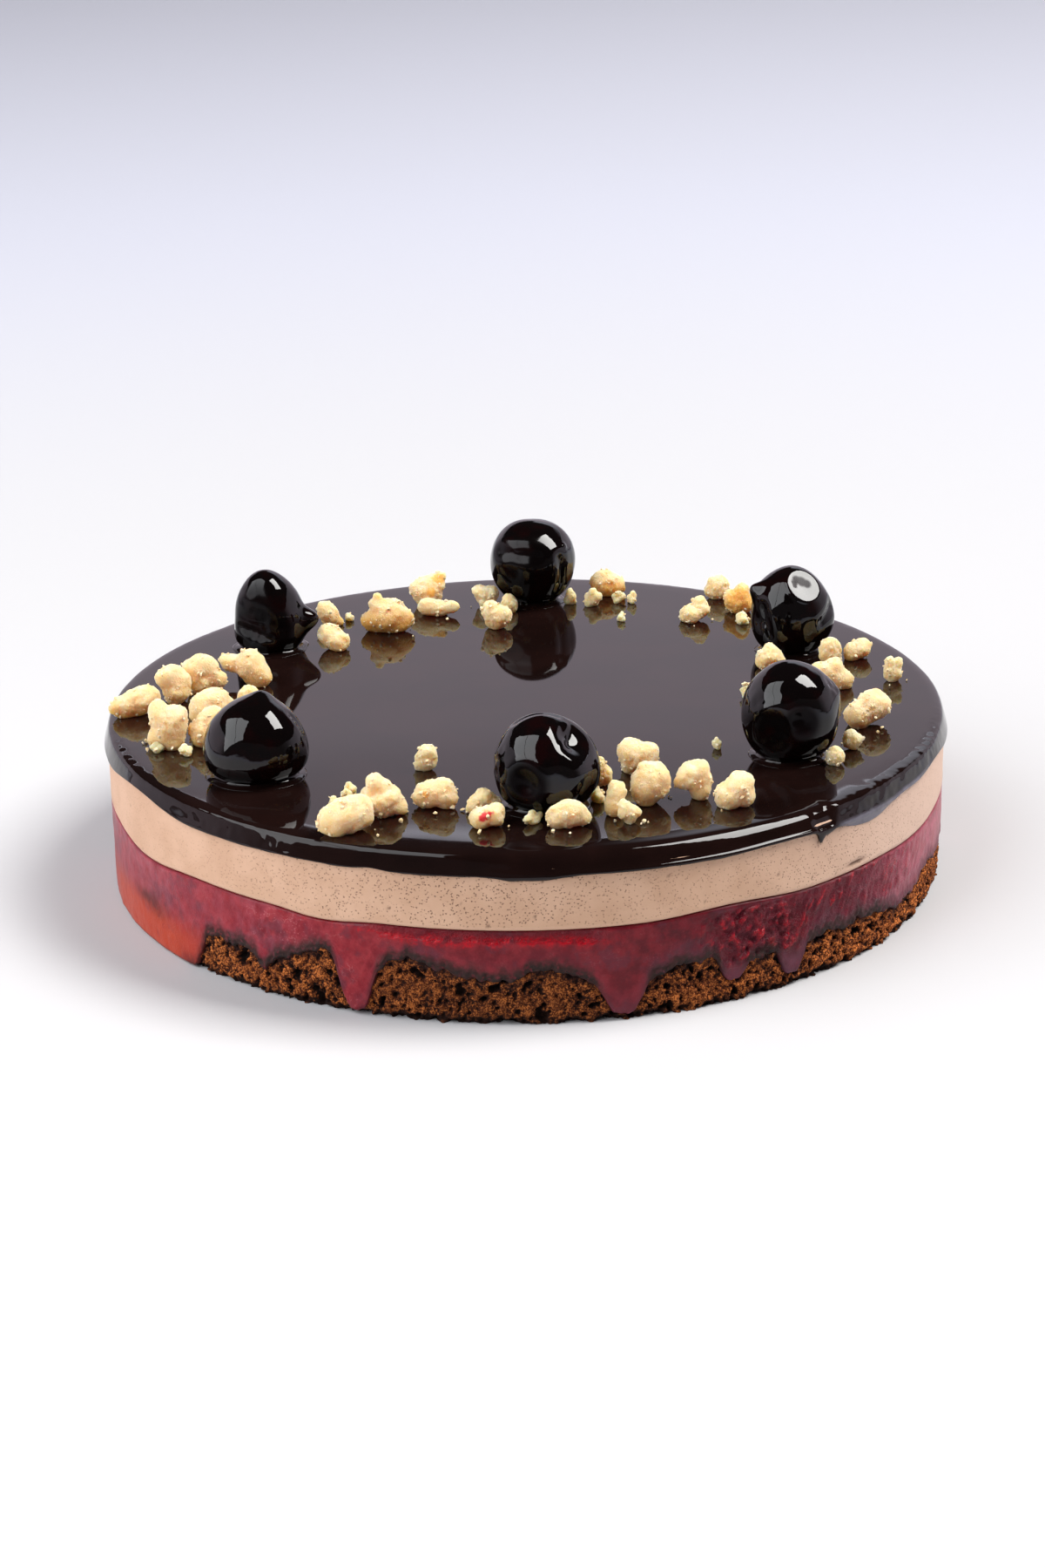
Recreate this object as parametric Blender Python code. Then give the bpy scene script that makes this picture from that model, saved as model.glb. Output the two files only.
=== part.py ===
"""A round mousse cake: sponge, fruit filling, mousse, a mirror glaze, cherries and crumble.

Run with  blender --background --python part.py  or from Blender's text editor.
Metres, +Z up.  The origin is the middle of the cake's underside, and -Y is its front.
Angles are in degrees, counted from +X towards +Y, so the front is at 270.
"""
import math
import random

import bmesh
import bpy
from mathutils import Vector, noise

MM = 0.001

# Driving dimensions of the cake.
CAKE_RADIUS = 90.0 * MM
SPONGE_TOP = 14.0 * MM
FILLING_TOP = 20.0 * MM
MOUSSE_TOP = 34.0 * MM
GLAZE_TOP = 36.0 * MM
GAP = 0.3 * MM                    # room left between pieces that touch

# Sponge and filling: the filling runs down over the sponge's edge as a skirt.
SKIRT_THICKNESS = 3.0 * MM
SPONGE_INSET = 0.8 * MM           # the sponge's side lies this far inside the filling's
SHOULDER_RISE = 0.8 * MM          # the sponge's edge rises inwards under the skirt
SPONGE_EDGE = 8.0 * MM            # usual height of the sponge that shows at the side
SPONGE_EDGE_MOST = 12.6 * MM
SPONGE_EDGE_LEAST = 0.5 * MM
SPONGE_RELIEF = 0.5 * MM
FILLING_RELIEF = 0.25 * MM
FILLING_BEAD = 0.6 * MM           # rounding of the skirt's lower edge

# Swells of the sponge's upper edge: angle, rise in mm, half width in degrees.
SPONGE_SWELLS = [(234, -1.0, 4), (242, 2.6, 8), (255, 4.8, 12), (271, 4.2, 10),
                 (290, 1.2, 6), (315, 1.0, 8), (328, -0.9, 8), (340, 1.5, 8)]
# Drips of filling over the sponge: angle, drop in mm, half width in degrees.
FILLING_DRIPS = [(248, 7.4, 3.4), (282, 7.6, 4.4), (297, 3.0, 2.8), (305.5, 5.6, 3.2)]
# The filling hides the sponge altogether over this arc.
COVERED_ARC = (176, 222)
COVERED_EASE = 3.0                # degrees over which the sponge comes into view
# The back has swells and drips too, at angles that a seeded draw gives.
BACK_ARC = (348, 534)             # from the right side round the back to the left
BACK_SEED = 11
BACK_SWELL_COUNT = 12
BACK_SWELL_RISE = (-1.5, 4.5)     # least and most, in mm
BACK_SWELL_WIDTH = (7.0, 12.0)    # least and most half width, in degrees
BACK_DRIP_COUNT = 6
BACK_DRIP_DROP = (4.0, 8.0)
BACK_DRIP_WIDTH = (3.0, 4.6)

# Rises and dips of the line between filling and mousse, and of the glaze's lower edge.
FILLING_TOP_SWELLS = [(209, -1.5, 14), (243, -0.9, 9), (296, 1.0, 13), (333, -0.6, 12),
                      (20, 0.7, 20), (75, -0.8, 25), (130, 0.6, 22)]
LIP_BOTTOM = 31.3 * MM
LIP_SWELLS = [(208, 1.8, 14), (270, -0.7, 8), (303, 0.4, 9), (319.5, -1.9, 9), (340, 1.2, 9),
              (35, 0.9, 14), (62, -0.8, 10), (100, 0.8, 12), (128, -1.1, 7), (158, 0.7, 12)]
LIP_DRIPS = [(310.4, 2.6, 2.6), (82, 2.0, 3.0), (143, 2.4, 3.0)]

# Glaze: a thin cap whose lip hangs outside the mousse in two soft ridges.
LIP_REACH = 0.9 * MM              # the ridges stand this far outside the mousse
GROOVE_DEPTH = 0.25 * MM
LIP_UNEVEN = 0.25 * MM
LIP_TUCK = 0.15 * MM              # its inner edge lies this far above its lower edge
LIP_EDGE_SHARE = 0.45             # its lowest line, as a share of its reach
LOWER_RIDGE_SHARE = 0.22          # ridge and groove, as shares of its side's height
GROOVE_SHARE = 0.6
LIP_ROUND = 4.0 * MM              # width of the rounded rim, seen from above
# The rounded rim: share of its width inwards, and depth below the top.
RIM_STEPS = [(0.025, 1.6 * MM), (0.22, 0.7 * MM), (0.5, 0.2 * MM), (1.0, 0.0)]
MOUSSE_ROUND = 1.3 * MM

# How many waves of unevenness run along the layers' sides, as a noise scale.
SPONGE_WAVES = 24.0
FILLING_WAVES = 20.0
LIP_WAVES = 5.0

SEGMENTS = 150                    # steps round the cake
CHERRY_LEVEL = 3                  # subdivisions of the icosphere a cherry is shaped from
CRUMBLE_LEVEL = 2

# Cherries: angle, distance from the middle, width and height in mm, how full the lower half is
# (2 is an ellipsoid, more is fuller), then what marks each.
# A mark is a direction, its depth (below zero) or height in mm, and its half width in radians.
CHERRIES = [
    (218, 69.9, 21.3, 17.2, 3.5, [((0.18, 0.2, 0.96), 2.8, 0.4), ((0.78, -0.5, 0.37), 0.35, 0.3)]),
    (273.5, 63.3, 21.6, 19.0, 2.3, [((0.67, -0.36, 0.65), -2.0, 0.5), ((-0.2, 0.0, 0.97), 0.9, 0.5),
                                    ((-0.98, -0.18, 0.0), -0.5, 0.4)]),
    (325.5, 65.7, 19.9, 20.2, 2.4, [((-0.1, -0.99, 0.1), -1.0, 0.6), ((0.78, -0.1, 0.62), -0.5, 0.15),
                                    ((0.9, 0.0, 0.43), 0.9, 0.3), ((-0.43, -0.89, -0.17), -0.8, 0.38)]),
    (27.5, 67.4, 17.7, 19.4, 2.5, [((-0.81, -0.11, 0.57), 1.6, 0.25), ((0.96, -0.16, -0.2), 1.0, 0.4),
                                   ((-0.88, -0.48, 0.0), -0.9, 0.35)]),
    (88, 71.5, 20.4, 19.6, 2.0, [((-0.5, -0.8, 0.4), -0.6, 0.5), ((0.85, -0.5, -0.12), -0.6, 0.35)]),
    (145.5, 69.5, 16.1, 18.4, 3.3, [((-0.35, -0.9, 0.24), -1.6, 0.6), ((1.0, -0.04, 0.0), 3.0, 0.28),
                                    ((-0.25, -0.13, 0.96), 1.0, 0.5)]),
]
CHERRY_WRINKLE = 0.03             # as a share of the radius
CHERRY_WAVES = 1.7
CHERRY_FLAT = 0.05                # share of the height cut off flat underneath
FLAT_REMAINS = 0.02               # what is left of the height of the part cut off

# Crumble forms: lobes as (x, y, z, radius), where the whole piece is about 2 across.
CRUMBLE_FORMS = {
    "round": [(0.0, 0.0, 0.0, 0.9)],
    "almond": [(0.0, 0.0, 0.0, 0.62), (0.42, 0.0, 0.0, 0.44), (-0.42, 0.0, 0.0, 0.44),
               (0.78, 0.0, 0.0, 0.22), (-0.78, 0.0, 0.0, 0.22)],
    "twin": [(-0.44, 0.0, -0.08, 0.56), (0.38, 0.0, 0.06, 0.64)],
    "horned": [(0.1, 0.0, -0.3, 0.82), (-0.3, 0.0, 0.38, 0.28), (-0.34, 0.0, 0.74, 0.15)],
    "knobbly": [(0.0, 0.0, -0.1, 0.72), (0.55, -0.1, 0.2, 0.38), (-0.5, -0.2, 0.3, 0.4),
                (0.1, -0.5, -0.3, 0.36), (-0.1, 0.1, 0.62, 0.34), (0.45, 0.3, -0.45, 0.34)],
    "stacked": [(0.0, 0.0, -0.3, 0.72), (-0.08, 0.0, 0.5, 0.42), (0.6, 0.0, -0.15, 0.4)],
    "wedge": [(0.2, 0.0, -0.12, 0.68), (-0.52, 0.0, -0.3, 0.42), (0.28, 0.0, 0.5, 0.4)],
    "block": [(-0.42, 0.0, 0.12, 0.56), (0.42, 0.0, -0.12, 0.54), (0.32, 0.0, 0.26, 0.4),
              (-0.42, 0.0, -0.34, 0.44)],
}
# Crumble pieces, group by group round the cake: angle, distance from the middle, then
# length, width and height in mm, the turn of the length about Z, and the form.
CRUMBLE = [
    (183.5, 84.0, 12.2, 6.2, 6.2, 25, "almond"), (178, 76.2, 8.0, 6.6, 8.6, 20, "knobbly"),
    (173, 70.4, 10.0, 7.6, 9.0, 0, "knobbly"), (167, 62.8, 12.2, 7.0, 8.2, -20, "twin"),
    (199, 79.0, 8.8, 7.4, 10.5, 0, "knobbly"), (190, 67.6, 10.6, 7.8, 8.0, 30, "round"),
    (200, 71.0, 8.0, 7.0, 8.2, 35, "stacked"), (181, 59.8, 5.0, 4.2, 5.0, 0, "round"),
    (129, 71.0, 6.2, 5.4, 5.8, 0, "wedge"), (139, 57.0, 7.4, 6.0, 5.8, -25, "round"),
    (122, 59.0, 12.6, 8.2, 9.4, 0, "horned"), (108, 72.0, 8.8, 7.0, 8.0, 10, "stacked"),
    (108, 64.0, 10.4, 4.2, 4.2, -8, "almond"), (97.4, 67.4, 6.4, 5.4, 5.4, 0, "knobbly"),
    (93, 62.8, 4.4, 4.0, 4.6, 0, "round"), (97, 51.0, 7.2, 6.0, 6.4, -20, "round"),
    (75, 77.0, 8.4, 6.0, 6.0, 0, "round"), (57, 84.0, 6.2, 5.2, 5.8, 0, "round"),
    (53.5, 66.5, 7.2, 5.6, 6.0, 25, "twin"), (50, 78.0, 7.3, 6.2, 7.0, 0, "wedge"),
    (19, 57.5, 7.2, 5.8, 5.8, 10, "wedge"), (17, 71.0, 5.4, 4.6, 6.2, 0, "round"),
    (18, 78.0, 6.6, 4.6, 4.6, 20, "twin"), (4, 67.0, 9.6, 6.0, 7.0, 0, "stacked"),
    (6, 80.8, 4.4, 3.8, 5.8, 0, "twin"), (345, 74.5, 10.8, 7.2, 7.4, 30, "twin"),
    (333, 75.6, 4.4, 4.0, 4.4, 0, "knobbly"), (325.5, 76.4, 4.2, 3.4, 4.0, 0, "round"),
    (296.5, 50.8, 8.7, 6.8, 7.0, -15, "block"), (291, 68.0, 8.4, 7.6, 8.8, 0, "round"),
    (298.5, 69.5, 7.8, 6.6, 8.2, 0, "knobbly"), (302, 77.5, 8.2, 6.8, 7.0, 15, "wedge"),
    (284, 71.5, 4.8, 4.2, 7.0, 60, "round"), (285, 76.5, 5.0, 4.2, 5.0, 20, "knobbly"),
    (286, 55.0, 4.2, 3.6, 6.2, 0, "stacked"), (262.6, 67.0, 7.0, 4.8, 4.8, 0, "wedge"),
    (264, 75.0, 7.0, 5.0, 4.8, 10, "round"), (276, 76.0, 9.0, 5.6, 5.8, 0, "round"),
    (245, 84.0, 12.0, 7.6, 7.6, 20, "round"), (247, 73.0, 10.0, 7.6, 8.6, 0, "stacked"),
    (254, 66.0, 9.2, 6.0, 6.2, 0, "twin"), (244, 47.0, 5.0, 4.2, 5.4, 180, "horned"),
]
CRUMBLE_ROUGHNESS = 0.12          # as a share of the radius
CRUMBLE_WAVES = 2.0
CRUMBLE_LEAST = 0.3               # least distance from the middle to the surface
CRUMBLE_FLAT = 0.1                # share of the height cut off flat underneath


def clear_scene():
    for item in list(bpy.data.objects):
        bpy.data.objects.remove(item, do_unlink=True)


def make_material(name, colour, roughness):
    material = bpy.data.materials.new(name)
    material.use_nodes = True
    shader = material.node_tree.nodes["Principled BSDF"]
    shader.inputs["Base Color"].default_value = (*colour, 1.0)
    shader.inputs["Roughness"].default_value = roughness
    shader.inputs["Metallic"].default_value = 0.0
    return material


def add_object(name, mesh_data, material):
    mesh = bpy.data.meshes.new(name)
    mesh_data.to_mesh(mesh)
    mesh_data.free()
    mesh.materials.append(material)
    mesh.shade_smooth()
    piece = bpy.data.objects.new(name, mesh)
    bpy.context.collection.objects.link(piece)
    return piece


def bump(angle, centre, half_width):
    """1 at the centre, falling in a rounded curve to 0 at half_width degrees from it."""
    away = abs((angle - centre + 180.0) % 360.0 - 180.0) / half_width
    if away >= 1.0:
        return 0.0
    return 0.5 + 0.5 * math.cos(math.pi * away)


def swells(angle, features):
    """Sum of the features (angle, rise in mm, half width) at one angle, in metres."""
    return sum(rise * MM * bump(angle, centre, width) for centre, rise, width in features)


def back_features(count, rises, widths, seed):
    """Swells or drips for the back of the cake, spread by a seeded draw."""
    draw = random.Random(seed)
    step = (BACK_ARC[1] - BACK_ARC[0]) / count
    features = []
    for index in range(count):
        centre = BACK_ARC[0] + (index + draw.uniform(0.2, 0.8)) * step
        features.append((centre, draw.uniform(*rises), draw.uniform(*widths)))
    return features


BACK_SWELLS = back_features(BACK_SWELL_COUNT, BACK_SWELL_RISE, BACK_SWELL_WIDTH, BACK_SEED)
BACK_DRIPS = back_features(BACK_DRIP_COUNT, BACK_DRIP_DROP, BACK_DRIP_WIDTH, BACK_SEED + 1)


def covered(angle):
    """1 where the filling hides the sponge, 0 elsewhere, with a short change between."""
    start, end = COVERED_ARC
    inside = min(angle - start, end - angle)
    return min(max(inside / COVERED_EASE + 0.5, 0.0), 1.0)


def sponge_edge(angle):
    """Height of the sponge's outer edge, below the drips of filling."""
    height = SPONGE_EDGE + swells(angle, SPONGE_SWELLS + BACK_SWELLS)
    height -= swells(angle, FILLING_DRIPS + BACK_DRIPS)
    height *= 1.0 - covered(angle)
    return min(max(height, SPONGE_EDGE_LEAST), SPONGE_EDGE_MOST)


def relief(angle, height, scale, amount):
    """Smooth unevenness of a side, from noise read at the point itself."""
    turn = math.radians(angle)
    spot = Vector((math.cos(turn), math.sin(turn), height / CAKE_RADIUS)) * scale
    return amount * noise.noise(spot)


def filling_top_edge(angle):
    return FILLING_TOP + swells(angle, FILLING_TOP_SWELLS)


def sponge_profile(angle):
    core = CAKE_RADIUS - SKIRT_THICKNESS
    outer = core + (SKIRT_THICKNESS - SPONGE_INSET) * (1.0 - covered(angle))
    edge = sponge_edge(angle)
    middle = outer + relief(angle, edge, SPONGE_WAVES, SPONGE_RELIEF) * (1.0 - covered(angle))
    return [(0.0, 0.0),
            (outer, 0.0),
            (middle, 0.5 * edge),
            (outer, edge),
            (core, edge + SHOULDER_RISE),
            (core, SPONGE_TOP),
            (0.0, SPONGE_TOP)]


def filling_profile(angle):
    hidden = covered(angle)
    core = CAKE_RADIUS - SKIRT_THICKNESS
    sponge_outer = core + (SKIRT_THICKNESS - SPONGE_INSET) * (1.0 - hidden)
    edge = sponge_edge(angle)
    lower_edge = (edge + GAP + FILLING_BEAD) * (1.0 - hidden)
    top = filling_top_edge(angle)
    middle = 0.5 * (lower_edge + top)
    side = CAKE_RADIUS - abs(relief(angle, middle, FILLING_WAVES, FILLING_RELIEF))
    return [(0.0, SPONGE_TOP + GAP),
            (core + GAP, SPONGE_TOP + GAP),
            (core + GAP, edge + SHOULDER_RISE + GAP),
            (sponge_outer + GAP, edge + GAP),
            (CAKE_RADIUS, lower_edge),
            (side, middle),
            (CAKE_RADIUS, top),
            (CAKE_RADIUS - 2.0 * SKIRT_THICKNESS, FILLING_TOP),
            (0.0, FILLING_TOP)]


def mousse_profile(angle):
    edge = filling_top_edge(angle) + GAP
    return [(0.0, FILLING_TOP + GAP),
            (CAKE_RADIUS - 2.0 * SKIRT_THICKNESS, FILLING_TOP + GAP),
            (CAKE_RADIUS, edge),
            (CAKE_RADIUS, MOUSSE_TOP - MOUSSE_ROUND),
            (CAKE_RADIUS - MOUSSE_ROUND, MOUSSE_TOP),
            (0.0, MOUSSE_TOP)]


def lip_bottom(angle):
    return LIP_BOTTOM + swells(angle, LIP_SWELLS) - swells(angle, LIP_DRIPS)


def glaze_profile(angle):
    inner = CAKE_RADIUS + GAP
    outer = CAKE_RADIUS + LIP_REACH + relief(angle, GLAZE_TOP, LIP_WAVES, LIP_UNEVEN)
    lower = lip_bottom(angle)
    side = GLAZE_TOP - RIM_STEPS[0][1] - lower
    ceiling = MOUSSE_TOP + GAP
    rim = [(outer - share * LIP_ROUND, GLAZE_TOP - depth) for share, depth in RIM_STEPS]
    return [(0.0, ceiling),
            (inner - MOUSSE_ROUND, ceiling),
            (inner, ceiling - MOUSSE_ROUND),
            (inner, lower + LIP_TUCK),
            (inner + LIP_EDGE_SHARE * (outer - inner), lower),
            (outer, lower + LOWER_RIDGE_SHARE * side),
            (outer - GROOVE_DEPTH, lower + GROOVE_SHARE * side),
            *rim,
            (0.0, GLAZE_TOP)]


def split_quad(mesh_data, corners):
    """Two triangles across the shorter diagonal, so that facing layers split alike."""
    a, b, c, d = corners
    if (a.co - c.co).length <= (b.co - d.co).length:
        mesh_data.faces.new((a, b, c))
        mesh_data.faces.new((a, c, d))
    else:
        mesh_data.faces.new((a, b, d))
        mesh_data.faces.new((b, c, d))


def turned_solid(name, profile, material):
    """A solid of revolution whose profile, from lower to upper middle, varies with angle."""
    mesh_data = bmesh.new()
    first = profile(0.0)
    low = mesh_data.verts.new((0.0, 0.0, first[0][1]))
    high = mesh_data.verts.new((0.0, 0.0, first[-1][1]))
    columns = []
    for step in range(SEGMENTS):
        angle = 360.0 * step / SEGMENTS
        turn = math.radians(angle)
        column = []
        for radius, height in profile(angle)[1:-1]:
            spot = (radius * math.cos(turn), radius * math.sin(turn), height)
            column.append(mesh_data.verts.new(spot))
        columns.append(column)
    for step in range(SEGMENTS):
        here = columns[step]
        beyond = columns[(step + 1) % SEGMENTS]
        mesh_data.faces.new((low, beyond[0], here[0]))
        for row in range(len(here) - 1):
            split_quad(mesh_data, (here[row], beyond[row], beyond[row + 1], here[row + 1]))
        mesh_data.faces.new((high, here[-1], beyond[-1]))
    return add_object(name, mesh_data, material)


def on_glaze(angle, distance):
    turn = math.radians(angle)
    reach = distance * MM
    return Vector((reach * math.cos(turn), reach * math.sin(turn), GLAZE_TOP + GAP))


def flatten_underside(mesh_data, share):
    """Cuts off the lowest share of the height flat and lowers the piece onto z = 0."""
    lowest = min(vert.co.z for vert in mesh_data.verts)
    highest = max(vert.co.z for vert in mesh_data.verts)
    floor = lowest + share * (highest - lowest)
    for vert in mesh_data.verts:
        vert.co.z = max(vert.co.z, floor + FLAT_REMAINS * (vert.co.z - floor))
        vert.co.z -= floor - FLAT_REMAINS * (floor - lowest)


def fit_to_size(mesh_data, axis, size):
    """Scales the piece along one axis so that it has exactly this size, standing on z = 0."""
    low = min(vert.co[axis] for vert in mesh_data.verts)
    high = max(vert.co[axis] for vert in mesh_data.verts)
    base = 0.0 if axis == 2 else -0.5
    for vert in mesh_data.verts:
        vert.co[axis] = ((vert.co[axis] - low) / (high - low) + base) * size


def cherry_reach(direction, row, seed):
    """Distance from a cherry's middle to its skin in one direction."""
    _, _, width, height, fullness, marks = row
    level = math.hypot(direction.x, direction.y) / (0.5 * width * MM)
    rise = abs(direction.z) / (0.5 * height * MM)
    power = fullness if direction.z < 0.0 else 2.0
    reach = (level ** power + rise ** power) ** (-1.0 / power)
    for centre, rise, half_angle in marks:
        away = direction.angle(Vector(centre)) / half_angle
        reach += rise * MM * math.exp(-away * away)
    uneven = noise.noise(direction * CHERRY_WAVES + Vector((7.0 * seed, 0.0, 0.0)))
    return reach * (1.0 + CHERRY_WRINKLE * uneven)


def build_cherry(name, row, material, seed):
    angle, distance, _, height, _, _ = row
    mesh_data = bmesh.new()
    bmesh.ops.create_icosphere(mesh_data, subdivisions=CHERRY_LEVEL, radius=1.0)
    for vert in mesh_data.verts:
        direction = vert.co.normalized()
        vert.co = direction * cherry_reach(direction, row, seed)
    flatten_underside(mesh_data, CHERRY_FLAT)
    fit_to_size(mesh_data, 2, height * MM)
    cherry = add_object(name, mesh_data, material)
    cherry.location = on_glaze(angle, distance)
    return cherry


def lobe_reach(direction, lobes):
    """Distance from the middle to the far side of the furthest lobe in one direction."""
    reach = CRUMBLE_LEAST
    for x, y, z, radius in lobes:
        centre = Vector((x, y, z))
        along = centre.dot(direction)
        inside = radius * radius - centre.length_squared + along * along
        if inside > 0.0:
            reach = max(reach, along + math.sqrt(inside))
    return reach


def build_crumble(name, row, material, seed):
    angle, distance, length, width, height, turn, form = row
    mesh_data = bmesh.new()
    bmesh.ops.create_icosphere(mesh_data, subdivisions=CRUMBLE_LEVEL, radius=1.0)
    for vert in mesh_data.verts:
        direction = vert.co.normalized()
        uneven = noise.noise(direction * CRUMBLE_WAVES + Vector((0.0, 5.0 * seed, 0.0)))
        reach = lobe_reach(direction, CRUMBLE_FORMS[form])
        vert.co = direction * reach * (1.0 + CRUMBLE_ROUGHNESS * uneven)
    flatten_underside(mesh_data, CRUMBLE_FLAT)
    for axis, size in enumerate((length, width, height)):
        fit_to_size(mesh_data, axis, size * MM)
    crumble = add_object(name, mesh_data, material)
    crumble.location = on_glaze(angle, distance)
    crumble.rotation_euler.z = math.radians(turn)
    return crumble


def build_layers():
    sponge = make_material("sponge", (0.195, 0.051, 0.014), 0.85)
    filling = make_material("filling", (0.254, 0.010, 0.024), 0.25)
    mousse = make_material("mousse", (0.578, 0.376, 0.262), 0.6)
    glaze = make_material("glaze", (0.010, 0.004, 0.003), 0.06)
    turned_solid("sponge", sponge_profile, sponge)
    turned_solid("filling", filling_profile, filling)
    turned_solid("mousse", mousse_profile, mousse)
    turned_solid("glaze", glaze_profile, glaze)


def build_toppings():
    fruit = make_material("cherry", (0.006, 0.002, 0.002), 0.05)
    pastry = make_material("crumble", (0.896, 0.738, 0.381), 0.7)
    for number, row in enumerate(CHERRIES, start=1):
        build_cherry(f"cherry_{number:02d}", row, fruit, number)
    for number, row in enumerate(CRUMBLE, start=1):
        build_crumble(f"crumble_{number:02d}", row, pastry, number)


clear_scene()
build_layers()
build_toppings()
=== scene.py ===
"""Looks of a round mousse cake: sponge, fruit filling, mousse, mirror glaze, cherries, crumble.

Lengths are in mm until add_piece turns them into metres.  Angles are in degrees, counted from
+X towards +Y.
"""
import math
import random
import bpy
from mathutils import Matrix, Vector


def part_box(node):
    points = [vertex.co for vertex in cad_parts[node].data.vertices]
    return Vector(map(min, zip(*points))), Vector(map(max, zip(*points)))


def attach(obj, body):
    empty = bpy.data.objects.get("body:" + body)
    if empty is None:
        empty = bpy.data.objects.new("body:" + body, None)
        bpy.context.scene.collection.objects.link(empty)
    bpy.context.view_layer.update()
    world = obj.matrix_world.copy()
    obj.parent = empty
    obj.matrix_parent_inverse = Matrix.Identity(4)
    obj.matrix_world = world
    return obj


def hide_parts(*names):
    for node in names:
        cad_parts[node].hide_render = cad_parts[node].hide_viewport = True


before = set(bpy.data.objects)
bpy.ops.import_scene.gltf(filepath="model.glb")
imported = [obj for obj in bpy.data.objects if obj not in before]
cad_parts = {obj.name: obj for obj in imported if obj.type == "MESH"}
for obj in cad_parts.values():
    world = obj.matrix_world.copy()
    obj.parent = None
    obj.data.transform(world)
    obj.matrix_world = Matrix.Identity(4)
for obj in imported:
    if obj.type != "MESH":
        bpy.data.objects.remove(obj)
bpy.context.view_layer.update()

from types import SimpleNamespace

import bmesh
import bpy
import numpy as np
from mathutils import Matrix, Quaternion, Vector, noise

MM = 0.001


def node_box(node):
    """Lowest and highest corner of a CAD node, in mm."""
    low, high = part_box(node)
    return np.array(low) / MM, np.array(high) / MM


CAKE_RADIUS = node_box("mousse")[1][0]
SPONGE_TOP = node_box("sponge")[1][2]
MOUSSE_TOP = node_box("mousse")[1][2]
GLAZE_TOP = node_box("glaze")[1][2]
FILLING_TOP = 20.0
SKIRT = 3.0                      # thickness of the filling that hangs over the sponge
GAP = 0.3                        # between the layers
SPONGE_SET_IN = 0.30             # each side's distance inwards from the cake's radius
FILLING_SET_IN = 0.12
MOUSSE_SET_IN = 0.02
LIP_SET_IN = 0.12                # and the lip's from its farthest reach
FRONT = 270.0

# Camera: where it looks, from how far and how steeply, its small roll and its lens.
CAMERA_TARGET = (-0.914, 0.0, 16.57)
CAMERA_DISTANCE = 733.1
CAMERA_ELEVATION = 20.673
CAMERA_ROLL = 1.023
CAMERA_LENS = 77.13
SENSOR = 36.0
CAMERA_CLIP = (0.01, 50.0)       # in metres

# Upper edge of the sponge where it shows: angle, rise, half width; then the filling's drips.
SPONGE_EDGE = 8.0
SPONGE_EDGE_RANGE = (0.5, 13.4)
SPONGE_SWELLS = [(226, 1.2, 3), (230, 0.9, 2), (233.8, -2.2, 1.6), (242.5, 4.4, 7), (255, 5.0, 9),
                 (263, 1.6, 6), (272, 3.8, 7), (290.5, 2.2, 6), (293, 0.8, 2), (311, 0.9, 5),
                 (318, 1.6, 2), (328, -1.4, 9), (340, 1.5, 8)]
FILLING_DRIPS = [(247.4, 9.0, 2.3), (281.7, 6.6, 2.7), (296.6, 3.2, 1.9), (305.7, 5.6, 1.8)]
COVERED_ARC = (176, 222)         # here the filling reaches down to the foot
COVERED_EASE = 3.0
# Drawn for the back: how many, between which rises or drops and half widths, and the seed.
BACK_ARC = (348, 534)
BACK_SWELLS = (12, (-1.5, 4.5), (7.0, 12.0), 11)
BACK_DRIPS = (6, (4.0, 8.0), (2.0, 3.0), 12)

FILLING_TOP_SWELLS = [(209, -1.5, 14), (243, -0.9, 9), (296, 1.0, 13), (333, -0.6, 12),
                      (20, 0.7, 20), (75, -0.8, 25), (130, 0.6, 22)]
LIP_BOTTOM = 31.3
LIP_REACH = 0.9
LIP_SWELLS = [(208, 1.8, 14), (250, 0.4, 3), (270, -0.8, 7), (303, 0.4, 9), (319.5, -1.9, 9),
              (340, 1.2, 9), (35, 0.9, 14), (62, -0.8, 10), (100, 0.8, 12), (128, -1.1, 7),
              (158, 0.7, 12)]
LIP_DRIPS = [(310.6, 1.2, 2.4), (309.9, 1.6, 0.8), (82, 2.0, 3.0), (143, 2.4, 3.0)]
# The lip's rounded shoulder, as (mm inwards, share of its height): tight, and wide at the
# right of the front.
LIP_TIGHT = [(3.9, 0.0), (3.3, 0.004), (2.7, 0.014), (2.2, 0.030), (1.8, 0.052), (1.5, 0.085),
             (1.25, 0.135), (1.05, 0.215), (0.86, 0.33), (0.61, 0.51), (0.35, 0.70), (0.09, 0.89)]
LIP_WIDE = [(6.8, 0.0), (6.0, 0.004), (5.0, 0.018), (4.0, 0.040), (3.4, 0.062), (2.85, 0.098),
            (2.2, 0.197), (1.55, 0.355), (1.05, 0.535), (0.50, 0.725), (0.14, 0.79), (0.0, 0.87)]
LIP_WIDE_ARC = (256, 281, 311.6, 313.4)
# From the crest round the lip's lower edge: mm inwards, more where the film is, share of the
# crest's height over that edge, and the least height.
LIP_TAIL = [(0.10, 0.30, 0.55, 0.30), (0.28, 0.22, 0.25, 0.18), (0.55, 0.10, 0.0, 0.06),
            (0.78, 0.0, 0.0, 0.10)]
LIP_HEIGHT = 5.2                 # the shoulder follows the lip's height up to this
FILM_ARC = (312.4, 314.5, 331, 340)   # where the lip runs out in a thin film

RIGHT_EASE = (80.0, 10.0)        # where colours of the front's right end fade out behind
COLUMNS = 1500                   # steps round the side of filling, mousse and glaze
LIP_STEPS = 3                    # between the points of the lip's outline
GLAZE_RINGS = (*np.linspace(83.0, 56.0, 5), *np.linspace(46.0, 8.0, 4))   # radii on the flat
FILLING_ROWS = 44
MOUSSE_ROWS = 26
SPONGE_COLUMNS = 1800
SPONGE_ROWS = 38

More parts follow.
